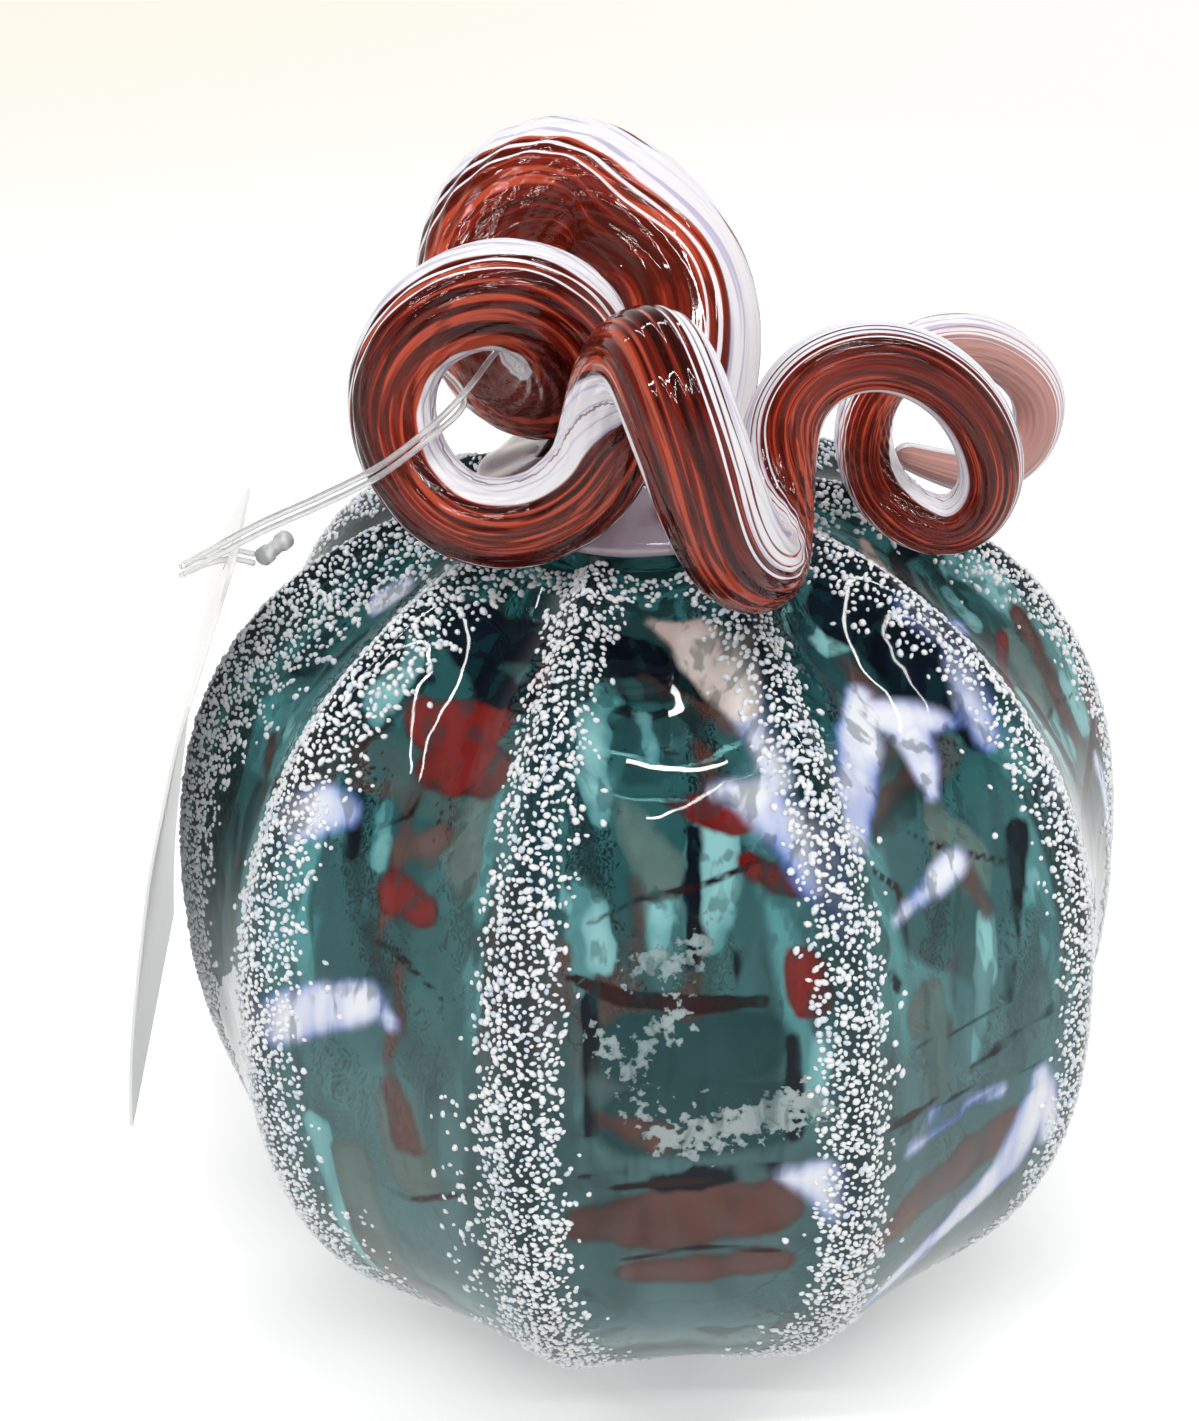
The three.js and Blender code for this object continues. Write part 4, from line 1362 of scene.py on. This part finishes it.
@dataclass
class CurledStem:
    """The pulled and curled stem, from its collar to its drawn out tip."""

    seat: float
    flutes: int = 22
    flute_depth: float = 0.034
    flute_twist: float = 1.5
    sides: int = 120
    steps: int = 640
    span_parts: int = 40
    blur: int = 9
    line_blur: int = 31
    tip_rings: int = 7
    root_length: float = 16 * MM
    route: tuple[tuple[float, float, float, float], ...] = (
        (0, 0, 4, 40), (1.3, 2.4, 6.6, 29.5), (3, 5.8, 9.8, 23.4), (4.7, 10, 14, 22),
        (5.4, 14.5, 18.6, 21.8), (4.2, 19, 23.2, 21.6), (0.8, 22.8, 27.6, 21.4),
        (-3.4, 25, 31.2, 21), (-9.5, 25.5, 33.8, 20.5), (-16, 22.5, 32.4, 19.6),
        (-20, 17.5, 26.5, 18.2), (-19, 10, 19, 16.6), (-13, 2.5, 16.4, 15.4), (-8, -3.5, 21, 15),
        (-9, -8, 28.6, 14.6), (-15.5, -10, 32.8, 13.6), (-23, -12, 31.8, 12.2),
        (-28, -14, 27.8, 11), (-30, -16, 21, 10.6), (-28, -19, 14.6, 10.6),
        (-23.5, -22, 10.2, 10.6), (-17, -24, 8.8, 11), (-10, -24, 10.8, 11.4), (-5, -24, 16, 11.8),
        (-3, -24.5, 23, 12.2), (-1, -28.5, 29.8, 12.4), (2, -36, 33.8, 12.4),
        (4.2, -42, 30.4, 12.4), (7, -43.5, 22.4, 12.4), (10, -41, 13.6, 12.2),
        (13.4, -34, 7.6, 11.6), (15, -26, 8.8, 10.6), (16, -21, 14, 9.8), (17.2, -18, 19.4, 9.2),
        (20.6, -17, 24.2, 8.8), (26.2, -17, 26.5, 8.6), (32.6, -17, 25.4, 8.4),
        (38.6, -17, 20.8, 8.2), (42, -17, 14.4, 8), (42.4, -16, 7.4, 7.8), (38.4, -14.5, 2.4, 7.6),
        (32.4, -13, 3.8, 7.6), (28.7, -6, 7, 7.5), (29, 2, 11.8, 7.4), (34, 8, 16, 7.4),
        (41.5, 12, 16.8, 7.4), (49.2, 15, 13, 7.4), (53.8, 16, 6.6, 7.2), (52.4, 15, -0.2, 6.6),
        (46.6, 12, -2.6, 5.8), (39.4, 8.4, 0.6, 4.8), (35, 6.4, 3, 3.6),
    )
    line_facing: tuple[tuple[int, tuple[float, float, float]], ...] = (
        (0, (1, -0.6, 0)), (4, (1, -0.3, 0.2)), (6, (0.9, -0.45, 0.7)), (7, (0.5, -0.35, 1)),
        (8, (0, -0.25, 1)), (9, (-0.5, 0.5, 1)), (10, (-1, 0.7, 0.3)), (11, (-1, 0.3, -0.8)),
        (12, (0, 0.3, -1)), (13, (0.9, 0.2, -0.5)), (14, (1, 0.2, 0.4)), (15, (0, 0, 1)),
        (16, (-0.4, 0.1, 1)), (17, (-0.8, 0.2, 0.6)), (18, (-1, 0.3, 0)), (19, (-0.8, 0.2, -0.6)),
        (20, (-0.4, 0.1, -1)), (21, (0, 0.1, -1)), (22, (0.4, 0.2, -0.9)), (23, (1, 0.3, -0.3)),
        (24, (0.8, 0.5, 0)), (25, (0.6, 0.5, 0.8)), (26, (0.8, 0.2, 0.8)), (27, (1, -0.1, 0.3)),
        (28, (1, -0.4, 0)), (29, (1, -0.4, 0.1)), (30, (0.6, -0.2, 0.8)), (31, (-0.2, 0, 1)),
        (32, (-0.8, 0, 0.6)), (33, (-1, -0.1, 0.2)), (34, (-0.6, 0.1, 0.8)), (35, (0, 0.15, 1)),
        (36, (0.5, 0.15, 0.9)), (37, (1, 0.1, 0.5)), (38, (1, 0.1, 0)), (39, (1, 0.2, -0.3)),
        (40, (0.4, 0.2, -1)), (41, (-0.6, 0.3, -1)), (42, (-1, 0, -0.2)), (43, (-0.8, 0, 0.6)),
        (44, (-0.2, -0.3, 1)), (45, (0.3, -0.4, 1)), (46, (0.7, -0.4, 0.8)), (47, (1, -0.3, 0.2)),
        (48, (1, -0.2, -0.4)), (49, (0.2, -0.2, -1)), (50, (-0.6, -0.3, -0.6)),
        (51, (-0.6, -0.3, -0.6)),
    )

    def centre_line(self) -> tuple[np.ndarray, np.ndarray, np.ndarray]:
        """Dense centre line of the tube.

        Returns:
            Points in metres, radii in metres, and the route index that each point has.
        """
        knots = np.array(self.route)
        line, stops = curve_through(knots[:, :3], self.span_parts)
        run = run_along(line)
        even = np.linspace(0, run[-1], self.steps + 1)
        points = np.column_stack([np.interp(even, run, line[:, axis]) for axis in range(3)])
        stops = np.interp(even, run, stops)
        kernel = np.ones(self.blur) / self.blur
        kept, half = self.blur - 1, self.blur // 2
        for _ in range(2):
            means = [np.convolve(points[:, axis], kernel, "same") for axis in range(3)]
            points[kept:-kept] = np.column_stack(means)[kept:-kept]
        widths = np.interp(stops, np.arange(len(knots)), knots[:, 3])
        widths[half:-half] = np.convolve(widths, kernel, "same")[half:-half]
        points[:, 2] += self.seat / MM
        return points * MM, widths / 2 * MM, stops

    @staticmethod
    def carried_axes(normals: np.ndarray) -> tuple[np.ndarray, np.ndarray]:
        """Two axes across the tube at each point, carried along it without a twist."""
        side = np.array([1.0, 0.0, 0.0])
        across = []
        for normal in normals:
            side = side - normal * side.dot(normal)
            side /= np.linalg.norm(side)
            across.append(side)
        return np.array(across), np.cross(normals, across)

    def line_turns(self, normals: np.ndarray, stops: np.ndarray) -> np.ndarray:
        """Turn of the lavender lines round the tube at each point, from the carried axes."""
        marks, ways = zip(*self.line_facing)
        ways = unit_rows(np.array(ways, dtype=float))
        facing = np.column_stack([np.interp(stops, marks, ways[:, axis]) for axis in range(3)])
        across, along = self.carried_axes(normals)
        turns = np.arctan2((facing * along).sum(1), (facing * across).sum(1))
        padded = np.pad(np.unwrap(turns), self.line_blur // 2, mode="edge")
        return np.convolve(padded, np.ones(self.line_blur) / self.line_blur, "valid")

    def build(self, material: bpy.types.Material) -> bpy.types.Object:
        """Sweeps the fluted tube and closes it with a rounded tip."""
        points, radii, stops = self.centre_line()
        tangents = unit_rows(np.gradient(points, axis=0))
        run = run_along(points)
        lean = smooth(run, 0, self.root_length)[:, None]
        normals = unit_rows(np.array([0.0, 0.0, 1.0]) * (1 - lean) + tangents * lean)
        lines = np.pad(self.line_turns(normals, stops), (0, self.tip_rings), mode="edge")
        caps = (np.arange(self.tip_rings) + 1) / (self.tip_rings + 0.3) * math.pi / 2
        beyond = normals[-1] * radii[-1]
        centres = np.vstack([points, points[-1] + beyond * np.sin(caps)[:, None]])
        sizes = np.append(radii, radii[-1] * np.cos(caps))
        lengths = np.pad(run, (0, self.tip_rings), mode="edge")
        carried = np.pad(normals, ((0, self.tip_rings), (0, 0)), mode="edge")
        across, along = self.carried_axes(carried)
        angles = np.arange(self.sides) / self.sides * math.tau
        twist = (self.flute_twist * math.tau * lengths / run[-1])[:, None]
        wave = 1 - self.flute_depth * (0.5 - 0.5 * np.cos(self.flutes * (angles + twist * 0.5)))
        cosine, sine = np.cos(angles)[:, None], np.sin(angles)[:, None]
        spokes = cosine * across[:, None] + sine * along[:, None]
        rings = centres[:, None] + (sizes[:, None] * wave)[..., None] * spokes
        poles = [points[0] - np.array([0, 0, 2.0 * MM]), points[-1] + beyond]
        vertices = np.vstack([rings.reshape(-1, 3), poles])
        stem = mesh_object("fluted_stem", vertices, ring_faces(len(rings), self.sides), material)
        way_round = (angles - lines[:, None] + math.pi) % math.tau / math.tau - 0.5
        mark_points(stem, Mark.WAY_ROUND, np.append(way_round, [0.5, 0.5]))
        mark_points(stem, Mark.WAY_ALONG, np.append(np.repeat(lengths, self.sides), [0.0, run[-1]]))
        outward(stem)
        return stem


@dataclass
class StemCollar:
    """The folded collar that spreads on the body's seat."""

    seat: float
    lip: float
    radius: float = 22.3 * MM
    neck: float = 15 * MM
    root: float = 14.6 * MM
    rise: float = 4.6 * MM
    swell: float = 0.55 * MM
    lift: float = 0.25 * MM
    gap: float = 0.3 * MM
    folds: int = 11
    sides: int = 180

    def build(self, material: bpy.types.Material) -> bpy.types.Object:
        """Makes the collar as one closed turned piece with folds in its rim."""
        bottom, rim = self.seat + self.gap, self.lip + self.gap
        profile = (
            (self.root, bottom), (self.radius * 0.93, rim - 0.4 * MM),
            (self.radius, rim + 0.5 * MM), (self.radius, rim + 1.3 * MM),
            (self.radius * 0.97, rim + 2.0 * MM), (self.radius * 0.9, rim + 2.6 * MM),
            (self.radius * 0.82, rim + 3.2 * MM), (self.neck, rim + self.rise),
            (self.neck * 0.7, rim + self.rise + 1.5 * MM),
        )
        folded = range(2, 7)
        angles = np.arange(self.sides) / self.sides * math.tau
        fold = np.cos(self.folds * angles + 0.8 * np.sin(2 * angles)) * 0.5
        fold = fold + np.cos(5 * angles + 1.0) * 0.3
        rows = []
        for index, (radius, height) in enumerate(profile):
            swell = self.swell * min(1.0, index / 2)
            reach = np.minimum(radius + swell * (fold - 0.8), self.radius)
            lift = self.lift * fold if index in folded else np.zeros(self.sides)
            ring = [reach * np.cos(angles), reach * np.sin(angles), height + lift]
            rows.append(np.column_stack(ring))
        points = np.vstack([*rows, [[0, 0, bottom], [0, 0, profile[-1][1]]]])
        collar = mesh_object("stem_collar", points, ring_faces(len(rows), self.sides), material)
        outward(collar)
        return collar


# Hang tag, thread and lock


@dataclass
class HangTag:
    """The blank card with clipped shoulders, bent over the flank."""

    length: float = 82 * MM
    width: float = 51 * MM
    top_width: float = 22 * MM
    shoulder: float = 14 * MM
    thickness: float = 0.5 * MM
    hole_radius: float = 2.25 * MM
    hole_drop: float = 5 * MM
    hole_sides: int = 32
    rows: int = 27
    leans: tuple[tuple[float, float], ...] = (
        (0, 24.6), (0.15, 24.2), (0.3, 16.4), (0.42, 17), (0.55, 12.6), (0.75, 12), (1, 5.5),
    )
    lean_slices: int = 60
    yaw: float = math.radians(3)
    top_x: float = -51.9 * MM
    top_z: float = 117 * MM
    side_shift: float = -3 * MM
    rounding: float = 0.08 * MM

    def lean_at(self, down: np.ndarray) -> np.ndarray:
        """The card's lean from upright at distances below its top edge, in radians."""
        shares, degrees = zip(*self.leans)
        return np.radians(np.interp(down / self.length, shares, degrees))

    def place(self, down: float, across: float, lift: float) -> Vector:
        """A point of the card: down from its top, across from its middle, off its middle face."""
        along = self.lean_at(down * (np.arange(self.lean_slices) + 0.5) / self.lean_slices)
        out = float(np.sin(along).mean()) * down
        drop = float(np.cos(along).mean()) * down
        lean = float(self.lean_at(np.array([down]))[0])
        point = Vector((
            self.top_x - out - across * math.sin(self.yaw),
            self.side_shift + across * math.cos(self.yaw),
            self.top_z - drop,
        ))
        flat = math.cos(lean)
        normal = Vector((-flat * math.cos(self.yaw), -flat * math.sin(self.yaw), math.sin(lean)))
        return point + normal * lift

    def build(self, material: bpy.types.Material) -> bpy.types.Object:
        """Makes the card as a flat sheet with its hole, gives it its thickness, then bends it."""
        half, top = self.width / 2, self.top_width / 2
        rim = (
            (-top, 0.0), (top, 0.0), (half, self.shoulder), (half, self.length),
            (-half, self.length), (-half, self.shoulder),
        )
        hole = []
        for side in range(self.hole_sides):
            turn = side / self.hole_sides * math.tau
            down = self.hole_drop + self.hole_radius * math.sin(turn)
            hole.append((self.hole_radius * math.cos(turn), down))
        work = bmesh.new()
        edges = []
        for loop in (rim, hole):
            corners = [work.verts.new((across, down, 0)) for across, down in loop]
            edges += [work.edges.new(pair) for pair in zip(corners, corners[1:] + corners[:1])]
        bmesh.ops.triangle_fill(work, use_beauty=True, edges=edges)
        for row in range(1, self.rows):
            cut = (0, self.length * row / self.rows, 0)
            whole = [*work.verts, *work.edges, *work.faces]
            bmesh.ops.bisect_plane(work, geom=whole, plane_co=cut, plane_no=(0, 1, 0))
        front = bmesh.ops.extrude_face_region(work, geom=list(work.faces))
        for vertex in (item for item in front["geom"] if isinstance(item, bmesh.types.BMVert)):
            vertex.co.z = self.thickness
        for vertex in work.verts:
            vertex.co = self.place(vertex.co.y, vertex.co.x, vertex.co.z - self.thickness / 2)
        bmesh.ops.recalc_face_normals(work, faces=work.faces)
        card = drawn_object("card", work, material)
        bevel = card.modifiers.new("edge", "BEVEL")
        bevel.width = self.rounding
        bevel.segments = 1
        bevel.limit_method = "ANGLE"
        baked_mesh(card)
        return card


@dataclass
class TagThread:
    """The clear loop: two strands from the lock to the stem and once round its neck."""

    diameter: float = 0.8 * MM
    span_parts: int = 8
    offset: tuple[float, float, float] = (0, 0.3, 0.5)
    pair_route: tuple[tuple[float, float, float], ...] = (
        (-51.1, -1.7, 111.2), (-53.8, -3, 112.5), (-57, -6.6, 113.4), (-58.4, -11.5, 114.6),
        (-57.6, -15.8, 116.8), (-53.8, -19.4, 120.2), (-46, -22.2, 125.4), (-38, -24.4, 129.8),
        (-30.6, -25.6, 134), (-25, -23.4, 137.4), (-21, -17, 139.2),
    )
    round_stem: tuple[tuple[float, float, float], ...] = (
        (-17.8, -8, 141.1), (-13.4, 0.6, 144), (-9.6, 8, 143.6), (-8.4, 16, 140.9),
        (-10.8, 24, 138.2), (-18.4, 29, 137), (-27, 27, 136.4), (-31.6, 19, 136.4),
        (-31, 9, 137.4), (-26.8, -1, 138.6),
    )

    def __post_init__(self) -> None:
        """Works out the centre line, from one end in the lock to the other, and its length."""
        pair, shift = np.array(self.pair_route), np.array(self.offset)
        knots = np.vstack([pair + shift, self.round_stem, pair[::-1] - shift]) * MM
        line, _ = curve_through(knots, self.span_parts)
        self.path = [Vector(place) for place in line]
        self.length = float(run_along(line)[-1])

    def build(self, material: bpy.types.Material) -> bpy.types.Object:
        """Makes the thread as a round curve with closed ends."""
        curve = bpy.data.curves.new("thread", "CURVE")
        curve.dimensions = "3D"
        curve.bevel_depth = self.diameter / 2
        curve.bevel_resolution = 2
        curve.use_fill_caps = True
        spline = curve.splines.new("POLY")
        spline.points.add(len(self.path) - 1)
        spline.points.foreach_set("co", [value for place in self.path for value in (*place, 1.0)])
        curve.materials.append(material)
        return linked("thread", curve)


@dataclass
class ThreadLock:
    """The small barrel that closes the loop behind the card."""

    radius: float = 1.3 * MM
    length: float = 6.4 * MM
    start: tuple[float, float, float] = (-50.3, -1.05, 110.9)
    towards: tuple[float, float, float] = (2.8, 5.7, 0.2)
    sides: int = 32

    def build(self, material: bpy.types.Material) -> bpy.types.Object:
        """Turns the barrel with a narrower waist between its two ends."""
        profile = (
            (0.0, 0.66), (0.03, 0.86), (0.07, 1.0), (0.25, 1.0), (0.29, 0.9), (0.32, 0.8),
            (0.68, 0.8), (0.71, 0.9), (0.75, 1.0), (0.93, 1.0), (0.97, 0.86), (1.0, 0.66),
        )
        axis = Vector(self.towards).normalized()
        across = axis.cross(Vector((0, 0, 1))).normalized()
        along = axis.cross(across)
        start = Vector(self.start) * MM
        points: list[Vector] = []
        for share, size in profile:
            centre = start + axis * self.length * share
            for side in range(self.sides):
                angle = side / self.sides * math.tau
                spoke = across * math.cos(angle) + along * math.sin(angle)
                points.append(centre + spoke * self.radius * size)
        points += [start, start + axis * self.length]
        rows = np.array([tuple(point) for point in points])
        lock = mesh_object("thread_lock", rows, ring_faces(len(profile), self.sides), material)
        outward(lock)
        return lock


# Studio


@dataclass(frozen=True)
class Tube:
    """A long rectangular lamp: its place and two sides in metres, and its power in watts."""

    name: str
    place: tuple[float, float, float]
    size: Span
    power: float


@dataclass
class Studio:
    """Camera, lamps, pale floor and backdrop.

    A Span is two distances in metres between which one thing turns into the next.
    """

    camera_distance: float = 325.05 * MM
    camera_rise: float = math.radians(30.908)
    body_middle: float = 79.6 * MM
    target: tuple[float, float, float] = (-6.52 * MM, 0.0, 85.95 * MM)
    roll: float = math.radians(-2.041)
    focal_px: float = 2349.9
    sensor: float = 36.0
    tubes: tuple[Tube, ...] = (
        Tube("long_tube", (0.05, -0.40, 1.10), (1.7, 0.026), 8.0),
        Tube("short_tube", (-0.05, -0.64, 1.04), (1.1, 0.016), 2.6),
        Tube("back_tube", (0.0, 0.75, 1.05), (1.5, 0.05), 5.0),
    )
    lamp_aim: tuple[float, float, float] = (0.0, 0.0, 0.08)
    floor_half: float = 3.0
    floor_drop: float = 0.02 * MM
    floor_colour: Colour = (0.86, 0.855, 0.845)
    floor_glow: float = 0.38
    floor_ends: Span = (0.28, 0.62)
    cream: Colour = (0.99, 0.945, 0.80)
    cream_from: Span = (0.30, 0.95)
    cream_to: Span = (1.2, 2.0)
    cream_across: Span = (0.35, -0.35)
    backdrop: Colour = (1.0, 0.99, 0.97)
    overhead: Colour = (0.90, 0.91, 0.93)
    overhead_dims: float = 0.84

    def camera(self) -> None:
        """Puts the camera where the photograph was taken from."""
        place = Vector((
            0.0, -self.camera_distance * math.cos(self.camera_rise),
            self.body_middle + self.camera_distance * math.sin(self.camera_rise),
        ))
        ahead = (Vector(self.target) - place).normalized()
        right = ahead.cross(Vector((0, 0, 1))).normalized()
        up = right.cross(ahead)
        turned_right = right * math.cos(self.roll) + up * math.sin(self.roll)
        turned_up = up * math.cos(self.roll) - right * math.sin(self.roll)
        data = bpy.data.cameras.new("camera")
        data.sensor_width = self.sensor
        data.lens = self.focal_px / PHOTO_HEIGHT_PX * self.sensor
        data.clip_start = 0.01
        data.clip_end = 50
        camera = linked("camera", data)
        axes = Matrix((turned_right, turned_up, -ahead)).transposed().to_4x4()
        camera.matrix_world = Matrix.Translation(place) @ axes
        bpy.context.scene.camera = camera

    def lamp(self, tube: Tube) -> None:
        """Hangs one lamp, facing the pumpkin."""
        data = bpy.data.lights.new(tube.name, "AREA")
        data.shape = "RECTANGLE"
        data.size, data.size_y = tube.size
        data.energy = tube.power
        lamp = linked(tube.name, data)
        lamp.location = tube.place
        ahead = Vector(self.lamp_aim) - Vector(tube.place)
        lamp.rotation_euler = ahead.to_track_quat("-Z", "Y").to_euler()

    def world(self) -> None:
        """A world, off white near the horizon and darker overhead, the same for every ray."""
        world = bpy.data.worlds.new("studio")
        bpy.context.scene.world = world
        world.use_nodes = True
        world.node_tree.nodes.clear()
        bench = Bench(world.node_tree)
        direction = bench.node("ShaderNodeTexCoord", None, None, "Generated")
        high = bench.axis(direction, "Z").above(0.10, 0.70)
        values = {
            "Color": bench.blend(high, self.backdrop, self.overhead),
            "Strength": 1.0 - high * self.overhead_dims,
        }
        light = bench.node("ShaderNodeBackground", None, values)
        bench.node("ShaderNodeOutputWorld", None, {"Surface": light})

    def floor(self) -> bpy.types.Object:
        """A wide white floor, a little creamy far off, that keeps the pumpkin's shadow.

        Where it is looked at, in the glass too, it turns into an even backdrop further off.
        """
        material, bench = fresh_material("floor")
        place = bench.place()
        away = bench.axis(place, "Y")
        near_side = away.above(*self.cream_from) * bench.axis(place, "X").above(*self.cream_across)
        cream = near_side * (1.0 - away.above(*self.cream_to))
        camera_ray = bench.node("ShaderNodeLightPath", None, None, "Is Camera Ray")
        looked = camera_ray + camera_ray.sibling("Is Glossy Ray")
        looked = looked + camera_ray.sibling("Is Transmission Ray")
        lit = bench.glaze({
            "Base Color": self.floor_colour, "Roughness": 0.6, "Specular IOR Level": 0.2,
        })
        values = {"Color": (1.0, 1.0, 1.0), "Strength": self.floor_glow}
        glow = bench.node("ShaderNodeEmission", None, values)
        near = bench.node("ShaderNodeAddShader", None, {0: lit, 1: glow})
        values = {"Color": bench.blend(cream, self.backdrop, self.cream), "Strength": 1.0}
        backdrop = bench.node("ShaderNodeEmission", None, values)
        distance = bench.vectors("LENGTH", {0: place}, "Value")
        both = bench.layers(distance.above(*self.floor_ends), near, backdrop)
        bench.surface(bench.layers(looked.above(0.0, 1.0), lit, both))
        half, low = self.floor_half, -self.floor_drop
        corners = np.array([
            (-half, -half, low), (half, -half, low), (half, half, low), (-half, half, low),
        ])
        return mesh_object("floor", corners, [(0, 1, 2, 3)], material)

    def build(self) -> None:
        """Sets up everything but the camera."""
        bpy.context.scene.view_settings.view_transform = "Standard"
        self.world()
        for tube in self.tubes:
            self.lamp(tube)
        self.floor()


def dress(piece: bpy.types.Object, body: str, slot: str, *nodes: str) -> None:
    """Rides a piece on its body and hides the nodes that it stands for."""
    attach(piece, body)
    if nodes:
        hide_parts(*nodes)
    log.info("%s rides on %s: %d faces", piece.name, body, len(getattr(piece.data, "polygons", ())))


def main() -> None:
    """Builds the camera and the thread, then the body, its grains, the stem and the tag."""
    logging.basicConfig(level=logging.INFO, format="%(name)s: %(message)s")
    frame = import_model()
    log.info("frame with %d nodes", len(frame["nodes"]))
    studio = Studio()
    studio.camera()

    clear = ClearPlastic("clear_thread").build()
    thread_maker = TagThread()
    thread, length = thread_maker.build(clear), thread_maker.length
    dress(thread, "pumpkin", "clear_plastic", "tag_loop")
    lock = ThreadLock().build(ClearPlastic("milky_lock", opaque=0.4).build())
    dress(lock, "lock", "clear_plastic", "tag_lock")
    card = HangTag().build(CoatedCard().build())
    dress(card, "tag", "card", "tag_card")

    glass = BodyGlass().build()
    body = BlownBody()
    dress(body.build(glass), "pumpkin", "body_glass", "glass_body")
    for rib, band in enumerate(FritBands(body).build(Frit().build(), glass)):
        dress(band, "pumpkin", "frit", f"rib_frit_{rib + 1:02d}")
    lip = body.lip_height()
    seat = lip - body.seat_sink
    dress(CurledStem(seat).build(StemGlass().build()), "pumpkin", "stem_glass", "curled_stem")
    dress(StemCollar(seat, lip).build(CollarGlass().build()), "pumpkin", "stem_glass")

    studio.build()


if __name__ == "__main__":
    main()
